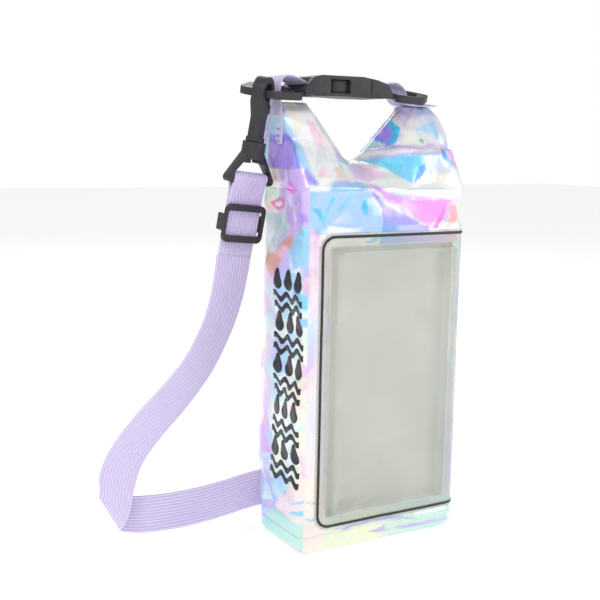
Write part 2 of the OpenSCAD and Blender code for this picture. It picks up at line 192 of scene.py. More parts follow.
def grid_faces(columns: int, rows: int, closed: bool = False,
               keep: Callable[[int, int], bool] | None = None) -> list:
    """Quads of a grid whose points run row by row inside each column.

    Args:
        columns: number of columns.
        rows: points in a column.
        closed: True if the last column joins the first.
        keep: called with a column and a row, says whether that quad stays.

    Returns:
        The faces.
    """
    faces = []
    for i in range(columns if closed else columns - 1):
        j = (i + 1) % columns
        for k in range(rows - 1):
            if keep is None or keep(i, k):
                faces.append((i * rows + k, j * rows + k, j * rows + k + 1, i * rows + k + 1))
    return faces


# ---- shader building ----


class Value:
    """A number socket in a material, with the usual operators."""

    def __init__(self, shader: "Shader", socket: bpy.types.NodeSocket) -> None:
        """Wraps a socket of a shader."""
        self.shader = shader
        self.socket = socket

    def _math(self, operation: str, a: object, b: object) -> "Value":
        """Adds one Math node and returns its result."""
        return self.shader.value("ShaderNodeMath", {"operation": operation}, {0: a, 1: b})

    def __add__(self, other: object) -> "Value":
        """Sum."""
        return self._math("ADD", self, other)

    __radd__ = __add__

    def __mul__(self, other: object) -> "Value":
        """Product."""
        return self._math("MULTIPLY", self, other)

    __rmul__ = __mul__

    def __sub__(self, other: object) -> "Value":
        """Difference."""
        return self._math("SUBTRACT", self, other)

    def __rsub__(self, other: object) -> "Value":
        """Difference from a number."""
        return self._math("SUBTRACT", other, self)

    def power(self, exponent: float) -> "Value":
        """The value raised to a power."""
        return self._math("POWER", self, exponent)


class Shader:
    """One material's node tree round a Principled shader."""

    def __init__(self, name: str, **constants: object) -> None:
        """Starts a material.

        Args:
            name: the material's name.
            **constants: Principled sockets by name, with underscores for spaces.
        """
        self.material = bpy.data.materials.new(name)
        self.material.use_nodes = True
        self.tree = self.material.node_tree
        self.tree.nodes.clear()
        self.surface = self.tree.nodes.new("ShaderNodeBsdfPrincipled")
        output = self.tree.nodes.new("ShaderNodeOutputMaterial")
        self.tree.links.new(self.surface.outputs[0], output.inputs[0])
        for key, value in constants.items():
            self.surface.inputs[key.replace("_", " ")].default_value = value

    def node(self, kind: str, settings: dict | None = None,
             inputs: dict | None = None) -> bpy.types.Node:
        """Adds a node.

        Args:
            kind: the node's type.
            settings: its properties; "stops" is a ramp's list of (place, colour).
            inputs: numbers, colours, sockets or Values for its inputs, by name or number.

        Returns:
            The node.
        """
        made = self.tree.nodes.new(kind)
        for key, value in (settings or {}).items():
            if key == "stops":
                ramp = made.color_ramp
                while len(ramp.elements) < len(value):
                    ramp.elements.new(0.5)
                for element, (place, colour) in zip(ramp.elements, value):
                    element.position = place
                    element.color = (*linear(colour), 1)
            else:
                setattr(made, key, value)
        for key, value in (inputs or {}).items():
            self.feed(made.inputs[key], value)
        return made

    def value(self, kind: str, settings: dict | None = None, inputs: dict | None = None,
              output: str | int = 0) -> Value:
        """Adds a node and wraps one of its outputs."""
        return Value(self, self.node(kind, settings, inputs).outputs[output])

    def feed(self, target: bpy.types.NodeSocket, value: object) -> None:
        """Links or sets one input."""
        if isinstance(value, Value):
            value = value.socket
        if isinstance(value, bpy.types.NodeSocket):
            self.tree.links.new(value, target)
        else:
            target.default_value = value

    def give(self, **inputs: object) -> None:
        """Feeds the Principled shader's changing sockets."""
        for key, value in inputs.items():
            self.feed(self.surface.inputs[key.replace("_", " ")], value)

    def place(self) -> bpy.types.NodeSocket:
        """Object coordinates, in metres."""
        return self.node("ShaderNodeTexCoord").outputs["Object"]

    def noise(self, scale: float, detail: float = 3, distortion: float = 0) -> Value:
        """Noise from 0 to 1 over the object, with a scale in cycles a metre."""
        return self.value("ShaderNodeTexNoise", None, {
            "Vector": self.place(), "Scale": scale, "Detail": detail, "Distortion": distortion})

    def mix(self, factor: object, a: object, b: object) -> bpy.types.NodeSocket:
        """Mixes two colours."""
        made = self.node("ShaderNodeMix", {"data_type": "RGBA"})
        self.feed(made.inputs[0], factor)
        self.feed(made.inputs[6], a)
        self.feed(made.inputs[7], b)
        return made.outputs[2]

    def bump(self, height: object, strength: float, distance: float) -> None:
        """Bumps the surface by a height, at most a distance in millimetres."""
        made = self.node("ShaderNodeBump", None,
                         {"Strength": strength, "Distance": distance * MM, "Height": height})
        self.feed(self.surface.inputs["Normal"], made.outputs[0])


def rgba(colour: Colour) -> tuple[float, float, float, float]:
    """A display colour as a shader colour."""
    return (*linear(colour), 1.0)


@dataclass(frozen=True)
class PearlFilm:
    """Glossy pearly film: a painted tint with a fine mottle and handling scuffs."""

    name: str = "pearl_film"
    metallic: float = 0.18
    roughness: float = 0.24

    def make(self) -> bpy.types.Material:
        """Builds the material."""
        s = Shader(self.name, Metallic=self.metallic, IOR=1.45, Coat_Weight=0.35, Coat_Roughness=0.05)
        tint = s.node("ShaderNodeAttribute", {"attribute_name": "tint"}).outputs["Color"]
        mottle = s.noise(55, 2, 0.6)
        warm = s.mix(mottle * 0.1, tint, rgba((255, 226, 244)))
        cool = s.mix(s.noise(140, 3, 1.2) * 0.1, warm, rgba((206, 240, 250)))
        s.give(Base_Color=cool, Roughness=self.roughness + s.noise(420, 2) * 0.12 - 0.05)
        s.bump(s.noise(260, 3, 0.8) * 0.7 + s.noise(1500, 2) * 0.3, 0.25, 0.25)
        return s.material


@dataclass(frozen=True)
class ClearFilm:
    """Clear welded window film with a grey-green cast and soft ripples."""

    name: str = "clear_film"
    tone: Colour = (205, 210, 198)

    def make(self) -> bpy.types.Material:
        """Builds the material."""
        s = Shader(self.name, IOR=1.5, Coat_Weight=1.0, Coat_Roughness=0.03)
        ripple = s.noise(26, 2, 0.5)
        s.give(Base_Color=s.mix(ripple, rgba(self.tone), rgba((232, 234, 228))),
               Roughness=0.05 + s.noise(300, 2) * 0.08, Alpha=0.2 + ripple * 0.16)
        s.bump(ripple, 0.12, 0.8)
        return s.material


@dataclass(frozen=True)
class InnerSheet:
    """Grey-green sheet behind the window and weld tape inside the base."""

    name: str = "inner_sheet"
    tone: Colour = (190, 194, 182)

    def make(self) -> bpy.types.Material:
        """Builds the material."""
        s = Shader(self.name, Coat_Weight=0.35, Coat_Roughness=0.15)
        cloud = s.noise(22, 2, 0.4)
        s.give(Base_Color=s.mix(cloud, rgba(self.tone), rgba((214, 217, 208))),
               Roughness=0.36 + s.noise(220, 2) * 0.12)
        s.bump(s.noise(60, 2, 0.3), 0.15, 0.5)
        return s.material


@dataclass(frozen=True)
class Webbing:
    """Woven lavender webbing whose pattern follows the strap's own UV map, with painted shade in the
    grooves between its ribs.
    """

    name: str = "lavender_webbing"
    light: Colour = (231, 221, 247)
    # Painted shade: the colour of the grooves between the ribs.
    dark: Colour = (186, 170, 220)
    ribs: int = 12

    def make(self) -> bpy.types.Material:
        """Builds the material."""
        s = Shader(self.name, Sheen_Weight=0.35, Sheen_Roughness=0.5)
        uv = s.node("ShaderNodeUVMap", {"uv_map": "weave"}).outputs[0]
        split = s.node("ShaderNodeSeparateXYZ", None, {0: uv})
        across, along = Value(s, split.outputs[0]), Value(s, split.outputs[1])
        rib = s.value("ShaderNodeMath", {"operation": "PINGPONG"},
                      {0: across * (2.0 * self.ribs), 1: 1.0})
        stitch = s.value("ShaderNodeMath", {"operation": "SINE"},
                         {0: along * (2 * math.pi / 0.0011) + rib * math.pi})
        weave = rib * 0.6 + stitch * 0.12 + 0.12
        fade = s.noise(24, 2)
        # Painted shade: the colour runs to the dark tone in the grooves between the ribs, with a faint
        # weave tone from the stitch term.
        base = s.mix(rib * 0.75 + 0.1 + stitch * 0.08, rgba(self.dark), rgba(self.light))
        s.give(Base_Color=s.mix(fade * 0.25, base, rgba((236, 226, 248))),
               Roughness=0.72 + s.noise(900, 2) * 0.16)
        s.bump(weave + s.noise(2600, 2) * 0.25, 0.5, 0.3)
        return s.material


@dataclass(frozen=True)
class Thread:
    """Violet sewing thread with a twist."""

    name: str = "lavender_thread"
    tone: Colour = (150, 126, 196)

    def make(self) -> bpy.types.Material:
        """Builds the material."""
        s = Shader(self.name, Sheen_Weight=0.2)
        twist = s.noise(1800, 2)
        s.give(Base_Color=s.mix(twist, rgba(self.tone), rgba((196, 178, 228))),
               Roughness=0.6 + twist * 0.2)
        s.bump(twist, 0.5, 0.2)
        return s.material


@dataclass(frozen=True)
class Moulding:
    """Black moulded acetal: fine spark grain, faint flow marks and rubbed patches."""

    name: str = "black_moulding"
    tone: Colour = (43, 42, 45)
    rubbed: Colour = (62, 61, 66)

    def make(self) -> bpy.types.Material:
        """Builds the material."""
        s = Shader(self.name, IOR=1.47)
        flow = s.noise(90, 3, 0.4)
        scuff = (s.noise(230, 4, 0.8) - 0.42) * 1.6
        s.give(Base_Color=s.mix(flow * 0.5, rgba(self.tone), rgba(self.rubbed)),
               Roughness=0.46 + scuff * 0.18)
        s.bump(s.noise(3200, 2) * 0.8 + flow * 0.2, 0.35, 0.12)
        return s.material


@dataclass(frozen=True)
class PrintInk:
    """Black screen-printing ink, a little worn."""

    name: str = "black_print"

    def make(self) -> bpy.types.Material:
        """Builds the material."""
        s = Shader(self.name, Coat_Weight=0.3)
        wear = s.noise(500, 3)
        s.give(Base_Color=s.mix(wear.power(3.0), rgba((8, 8, 10)), rgba((38, 38, 42))),
               Roughness=0.3 + wear * 0.25)
        s.bump(wear, 0.2, 0.05)
        return s.material


@dataclass(frozen=True)
class WhiteStrip:
    """White stiffening strip rolled into the mouth."""

    name: str = "white_strip"

    def make(self) -> bpy.types.Material:
        """Builds the material."""
        s = Shader(self.name)
        grain = s.noise(700, 3)
        s.give(Base_Color=s.mix(grain, rgba((236, 236, 238)), rgba((248, 248, 250))),
               Roughness=0.4 + grain * 0.15)
        s.bump(grain, 0.2, 0.1)
        return s.material


@dataclass(frozen=True)
class PaleFloor:
    """Plain pale floor."""

    name: str = "pale_floor"
    glow: float = 0.3

    def make(self) -> bpy.types.Material:
        """Builds the material."""
        s = Shader(self.name, Roughness=0.75, Emission_Color=(1, 1, 1, 1), Emission_Strength=self.glow)
        s.give(Base_Color=s.mix(s.noise(6, 2), rgba((246, 246, 247)), rgba((250, 250, 251))))
        return s.material


def dress(piece: bpy.types.Object, finish: bpy.types.Material) -> None:
    """Gives a piece one finish in all its slots."""
    if not piece.material_slots:
        piece.data.materials.append(finish)
    for slot in piece.material_slots:
        slot.material = finish


def settle(piece: bpy.types.Object, body: str, slot: str, *nodes: str) -> None:
    """Puts a piece on its body and hides the parts that it stands for.

    Args:
        piece: the object.
        body: the body that it rides on.
        slot: not used.
        *nodes: parts of the frame that it stands for.
    """
    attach(piece, body)
    if nodes:
        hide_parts(*nodes)
    LOG.info("%s: %d faces on %s", piece.name, len(piece.data.polygons), body)


# ---- studio ----


@dataclass
class Studio:
    """Camera, soft lights, pale floor and white surroundings."""

    eye: tuple[float, float, float] = (-0.361, -0.531, 0.255)
    forward: tuple[float, float, float] = (0.4964, 0.8529, -0.1616)
    roll: float = 1.1
    lens: float = 60.0
    floor_size: float = 8.0
    surroundings: float = 0.6

    def camera(self) -> None:
        """Makes the camera at the viewing angle, leaning by its roll."""
        data = bpy.data.cameras.new("camera")
        data.lens = self.lens
        data.clip_start = 0.01
        camera = bpy.data.objects.new("camera", data)
        bpy.context.collection.objects.link(camera)
        ahead = Vector(self.forward).normalized()
        right = ahead.cross(Vector((0, 0, 1))).normalized()
        up = right.cross(ahead)
        lean = math.radians(self.roll)
        side = right * math.cos(lean) + up * math.sin(lean)
        top = up * math.cos(lean) - right * math.sin(lean)
        turn = Matrix((side, top, -ahead)).transposed()
        camera.matrix_world = Matrix.Translation(self.eye) @ turn.to_4x4()
        bpy.context.scene.camera = camera

    def light(self, name: str, at: tuple, size: tuple, power: float, colour: tuple) -> None:
        """Adds one soft area light aimed at the bag's middle."""
        data = bpy.data.lights.new(name, "AREA")
        data.shape = "RECTANGLE"
        data.size, data.size_y = size
        data.energy = power
        data.color = colour
        lamp = bpy.data.objects.new(name, data)
        lamp.location = at
        lamp.rotation_euler = (Vector((-0.02, 0, 0.15)) - Vector(at)).to_track_quat("-Z", "Y").to_euler()
        bpy.context.collection.objects.link(lamp)

    def surround(self) -> None:
        """Makes white surroundings, whose soft light and dark boards show in gloss."""
        world = bpy.data.worlds.new("surroundings")
        world.use_nodes = True
        nodes, links = world.node_tree.nodes, world.node_tree.links
        boards, contrast, level, where, path = (nodes.new(kind) for kind in (
            "ShaderNodeTexNoise", "ShaderNodeMapRange", "ShaderNodeMapRange", "ShaderNodeTexCoord",
            "ShaderNodeLightPath"))
        settings = ((boards, "Scale", 2.2), (boards, "Detail", 1.0), (contrast, "From Min", 0.38),
                    (contrast, "From Max", 0.6), (contrast, "To Min", self.surroundings * 0.35),
                    (contrast, "To Max", self.surroundings * 1.6), (level, "To Max", 1.0))
        for node, socket, value in settings:
            node.inputs[socket].default_value = value
        background = nodes["Background"]
        background.inputs[0].default_value = (1.0, 1.0, 1.0, 1)
        links.new(where.outputs["Generated"], boards.inputs["Vector"])
        links.new(boards.outputs[0], contrast.inputs["Value"])
        links.new(contrast.outputs[0], level.inputs["To Min"])
        links.new(path.outputs["Is Camera Ray"], level.inputs["Value"])
        links.new(level.outputs[0], background.inputs[1])
        bpy.context.scene.world = world

    def build(self) -> None:
        """Makes the whole studio but the camera."""
        self.light("key", (-0.9, -0.7, 1.1), (0.45, 0.45), 5.2, (1.0, 0.99, 0.97))
        self.light("fill", (0.9, -1.0, 0.6), (0.5, 0.8), 3.6, (0.97, 0.98, 1.0))
        self.light("back", (0.2, 1.1, 1.0), (0.9, 0.5), 5, (1.0, 1.0, 1.0))
        self.surround()
        bpy.context.scene.view_settings.view_transform = "Standard"
        bpy.ops.object.select_all(action="DESELECT")
        bpy.ops.mesh.primitive_plane_add(size=self.floor_size, location=(0, 0, -0.0003))
        floor = bpy.context.object
        floor.name = "floor"
        dress(floor, PaleFloor().make())


# ---- webbing ----


@dataclass
class Band:
    """Ribbed webbing swept along a line, with its own weave map."""

    width: float = 25.0
    thickness: float = 1.4
    ribs: int = 12
    per_rib: int = 4
    rib_depth: float = 0.32

    def section(self) -> tuple[np.ndarray, np.ndarray]:
        """Outline of the webbing: places across and out of its face, and the share of the width."""
        n = self.ribs * self.per_rib
        share = np.linspace(0, 1, n + 1)
        edge = np.sqrt(np.clip(1 - ((share - 0.5) * 2) ** 24, 0.08, 1))
        ridge = np.abs(np.sin(share * self.ribs * math.pi)) ** 0.6
        half = (self.thickness / 2 - self.rib_depth * (1 - ridge)) * edge
        across = (share - 0.5) * self.width
        top = np.stack([across, half], 1)
        bottom = np.stack([across, -half], 1)[::-1]
        return np.concatenate([top, bottom]), np.concatenate([share, share[::-1]])

    def sweep(self, name: str, line: np.ndarray, widths: np.ndarray,
              folded: bool = False) -> bpy.types.Object:
        """Makes the webbing.

        Args:
            name: the piece's name.
            line: its centreline, in millimetres.
            widths: the direction across it at each point.
            folded: True keeps the widths as given, so that the webbing can fold on a slant.

        Returns:
            The piece, closed at both ends, with UV map "weave": across from 0 to 1, along in metres.
        """
        outline, shares = self.section()
        ahead = unit(np.gradient(line, axis=0))
        wide = unit(widths - (widths * ahead).sum(1, keepdims=True) * ahead)
        if folded:
            wide = widths / self.width
        out = unit(np.cross(ahead, wide))
        points = (line[:, None] + wide[:, None] * outline[None, :, :1]
                  + out[:, None] * outline[None, :, 1:])
        m, n = len(line), len(outline)
        faces = [(i * n + k, i * n + (k + 1) % n, (i + 1) * n + (k + 1) % n, (i + 1) * n + k)
                 for i in range(m - 1) for k in range(n)]
        half = n // 2
        for i, turn in ((0, 1), (m - 1, -1)):
            for k in range(half - 1):
                cap = (i * n + k, i * n + n - 1 - k, i * n + n - 2 - k, i * n + k + 1)
                faces.append(cap[::turn])
        piece = new_piece(name, points.reshape(-1, 3), faces)
        run = np.concatenate([[0], np.cumsum(np.linalg.norm(np.diff(line, axis=0), axis=1))]) * MM
        layer = piece.data.uv_layers.new(name="weave")
        for loop in piece.data.loops:
            i, k = divmod(loop.vertex_index, n)
            layer.data[loop.index].uv = (shares[k], run[i])
        only(piece)
        bpy.ops.object.mode_set(mode="EDIT")
        bpy.ops.mesh.select_all(action="SELECT")
        bpy.ops.mesh.normals_make_consistent(inside=False)
        bpy.ops.object.mode_set(mode="OBJECT")
        return piece


STRAP_ROUTE = [
    [(-93, 10, 183), (25, 4, -3)], [(-94, 12, 170), (25, 5, -3)], [(-96, 15, 154), (25, 6, -4)],
    [(-101, 18, 136), (24, 7, -7)], [(-111, 22, 114), (22, 7, -12)], [(-125, 27, 94), (20, 6, -16)],
    [(-141, 32, 75), (19, 4, -17)], [(-153, 35, 58), (21, 2, -14)], [(-159, 36, 43), (22, 0, -14)],
    [(-161, 36, 30), (19, -1, -19)], [(-162, 38, 24), (16, -1, -23)], [(-162, 42, 20), (14, 0, -24)],
    [(-159, 46, 18), (11, 0, -25)], [(-153, 47, 16), (6, 0, -25)], [(-136, 45, 14), (0, 0, -25)],
    [(-112, 43, 14), (0, 0, -25)], [(-88, 42, 16), (0, 0, -25)], [(-66, 40, 20), (0, 0, -25)],
    [(-46, 39, 22), (0, 0, -25)], [(-31, 39, 23), (0, 0, -25)],
]


@dataclass
class Strap:
    """The carrying strap: its free run, the doubled top round the hook's bar and the lower end loop."""

    band: Band = field(default_factory=Band)
    hang_at: tuple[float, float, float] = (-87, 4.7, 226.5)
    hang_turn: tuple[float, float, float] = (7, 6, 10)
    bar_z: float = 3.5
    bar_bend: float = 2.8
    anchor_z: float = 23.0

    def hang(self, points: np.ndarray) -> np.ndarray:
        """Takes points from the hook's leaning line to the bag's frame."""
        turn = Matrix()
        for angle, axis in zip(self.hang_turn, "XYZ"):
            turn = Matrix.Rotation(math.radians(angle), 4, axis) @ turn
        return np.asarray(points) @ np.array(turn.to_3x3()).T + np.array(self.hang_at)

    def route(self) -> tuple[np.ndarray, np.ndarray]:
        """The free run's line and width directions, from the lower anchor up to the slider."""
        line = catmull_rom([place for place, _ in STRAP_ROUTE], 14)[::-1]
        widths = catmull_rom([wide for _, wide in STRAP_ROUTE], 14)[::-1]
        return line, widths

    def free_run(self, finish: bpy.types.Material) -> tuple[bpy.types.Object, np.ndarray]:
        """Makes the free run, and gives its line in metres."""
        line, widths = self.route()
        piece = self.band.sweep("strap_webbing", line, widths, folded=True)
        dress(piece, finish)
        settle(piece, "bag", "lavender_webbing", "strap")
        return piece, line * MM

    def doubled_top(self, finish: bpy.types.Material) -> bpy.types.Object:
        """Makes the layer that goes round the hook's bar and back down through the slider."""
        path = [(-0.75, -33), (-0.75, -20), (-0.75, -7), (-1.6, -1.5)]
        path += arc((0, self.bar_z), self.bar_bend, 180, 0, 10)
        path += [(1.6, -1.5), (0.75, -7), (0.75, -20), (0.75, -44.3)]
        flat = catmull_rom(path, 6)
        line = self.hang(np.stack([0 * flat[:, 0], flat[:, 0], flat[:, 1]], 1))
        across = self.hang([(1, 0, 0)])[0] - np.array(self.hang_at)
        piece = self.band.sweep("strap_doubled_top", line, np.tile(across, (len(line), 1)))
        dress(piece, finish)
        settle(piece, "bag", "lavender_webbing", "strap_return")
        return piece

    def flat_loop(self, name: str, path: list, finish: bpy.types.Material, node: str) -> bpy.types.Object:
        """Makes a loop of webbing round an upright bar, from its plan view."""
        flat = catmull_rom(path, 4)
        line = np.stack([flat[:, 0], flat[:, 1], np.full(len(flat), self.anchor_z)], 1)
        piece = self.band.sweep(name, line, np.tile((0.0, 0.0, 1.0), (len(line), 1)))
        dress(piece, finish)
        settle(piece, "bag", "lavender_webbing", node)
        return piece

    def loops(self, finish: bpy.types.Material) -> list[bpy.types.Object]:
        """Makes the strap's end loop and the bag's anchor loop."""
        end = [(-31.2, 39), (-28, 38)] + arc((-18.5, 39), 4.4, 250, 470, 12)
        end += [(-26, 42), (-33, 40.6), (-44, 40.6)]
        anchor = [(20, 34.6), (0, 34.6), (-3, 35)] + arc((-6, 39), 2.85, 290, 70, 14)
        anchor += [(-2, 40.2), (2, 36.4), (6, 36.1), (20, 36.1)]
        return [self.flat_loop("strap_end_webbing", end, finish, "strap_end_loop"),
                self.flat_loop("anchor_webbing", anchor, finish, "anchor_loop")]


@dataclass
class HandleWebbing:
    """The two lengths of webbing that join the buckle to the bag's ears."""

    band: Band = field(default_factory=lambda: Band(width=24.4, thickness=1.15))
    y: float = 8.0
    left: tuple = ((-68.7, 250), (-68.5, 262), (-69.2, 271), (-70.2, 278), (-70.3, 283.4), (-69, 287.8),
                   (-65.5, 290.3), (-60, 289.8), (-54.5, 287.8), (-51.3, 286), (-50.5, 282.2))
    right: tuple = ((45, 275.95), (38, 275.95), (30, 275.95), (25, 277.4), (22, 281), (19.5, 285.4),
                    (14.5, 288.8), (9, 288.9), (5.6, 287.5), (3.2, 285.4), (2.6, 281.8))

    def length(self, name: str, path: tuple, finish: bpy.types.Material) -> bpy.types.Object:
        """Makes one length from its front view."""
        flat = catmull_rom(path, 6)
        line = np.stack([flat[:, 0], np.full(len(flat), self.y), flat[:, 1]], 1)
        piece = self.band.sweep(name, line, np.tile((0.0, 1.0, 0.0), (len(line), 1)))
        dress(piece, finish)
        return piece

    def build(self, finish: bpy.types.Material) -> None:
        """Makes both lengths; only the left one is put on the bag's body."""
        left = self.length("handle_webbing_left", self.left, finish)
        settle(left, "bag", "lavender_webbing", "ear_webbing_left")
        right = self.length("handle_webbing_right", self.right, finish)
        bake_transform(right)
        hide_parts("ear_webbing_right")
        LOG.info("%s: %d faces between bag and male_half", right.name, len(right.data.polygons))


# ---- film ----


class Crumple:
    """Creases of stiff film: rows of domed facets that meet in sharp valleys and ridges."""

    CHUNK = 4000

    def __init__(self, seed: int, low: tuple, high: tuple, cell: float, tilt: float) -> None:
        """Scatters the facets.

        Args:
            seed: random seed.
            low: lowest corner of their space, in millimetres.
            high: highest corner.
            cell: usual distance between two facets.
            tilt: largest slope of a facet.
        """
        rng = np.random.default_rng(seed)
        low, high = np.array(low, float), np.array(high, float)
        count = int(np.prod(high - low) / cell**3)
        self.at = rng.uniform(low, high, (count, 3))
        self.slope = unit(rng.normal(size=(count, 3))) * rng.uniform(0.2, 1, (count, 1)) * tilt
        self.lift = rng.uniform(-0.5, 0.5, count) * tilt * cell * 0.5
        self.hue = rng.uniform(0, 1, count)
        self.round = cell / (tilt * 1.6)

    def __call__(self, points: np.ndarray) -> tuple[np.ndarray, np.ndarray]:
        """Height and hue at points.

        Args:
            points: rows of millimetres.

        Returns:
            Heights in millimetres, and the hue of each point's facet.
        """
        height, facet = np.empty(len(points)), np.empty(len(points), int)
        for start in range(0, len(points), self.CHUNK):
            p = points[start:start + self.CHUNK]
            d = p[:, None] - self.at[None]
            h = self.lift + (d * self.slope).sum(2) - (d * d).sum(2) / (2 * self.round)
            best = h.argmax(1)
            facet[start:start + self.CHUNK] = best
            height[start:start + self.CHUNK] = h[np.arange(len(p)), best]
        return height, self.hue[facet]


class Face(Enum):
    """The sides of the bag that carry painted shards."""

    LEFT = "left"
    FRONT = "front"
    MOUTH = "mouth"


@dataclass(frozen=True)
class Shard:
    """One reflected shape in the film, running from one colour to another.

    Its outline is in millimetres: Y and Z on the left side, and X and Z on the front and the mouth.
    """

    face: Face
    outline: tuple[Point, ...]
    first: Colour
    last: Colour | None = None
    soft: float = 0.8
    strength: float = 0.9


WHITE, CREAM, GREY = (250, 250, 252), (249, 243, 232), (222, 224, 230)
CYAN, SKY, BLUE, DEEP = (92, 203, 236), (168, 209, 240), (98, 160, 243), (22, 178, 232)
VIOLET, LILAC, PINK, ROSE = (165, 142, 234), (212, 190, 240), (240, 168, 242), (247, 132, 218)
BLUSH, PEACH, LEMON, PLUM = (242, 208, 222), (226, 176, 166), (242, 246, 214), (190, 92, 140)

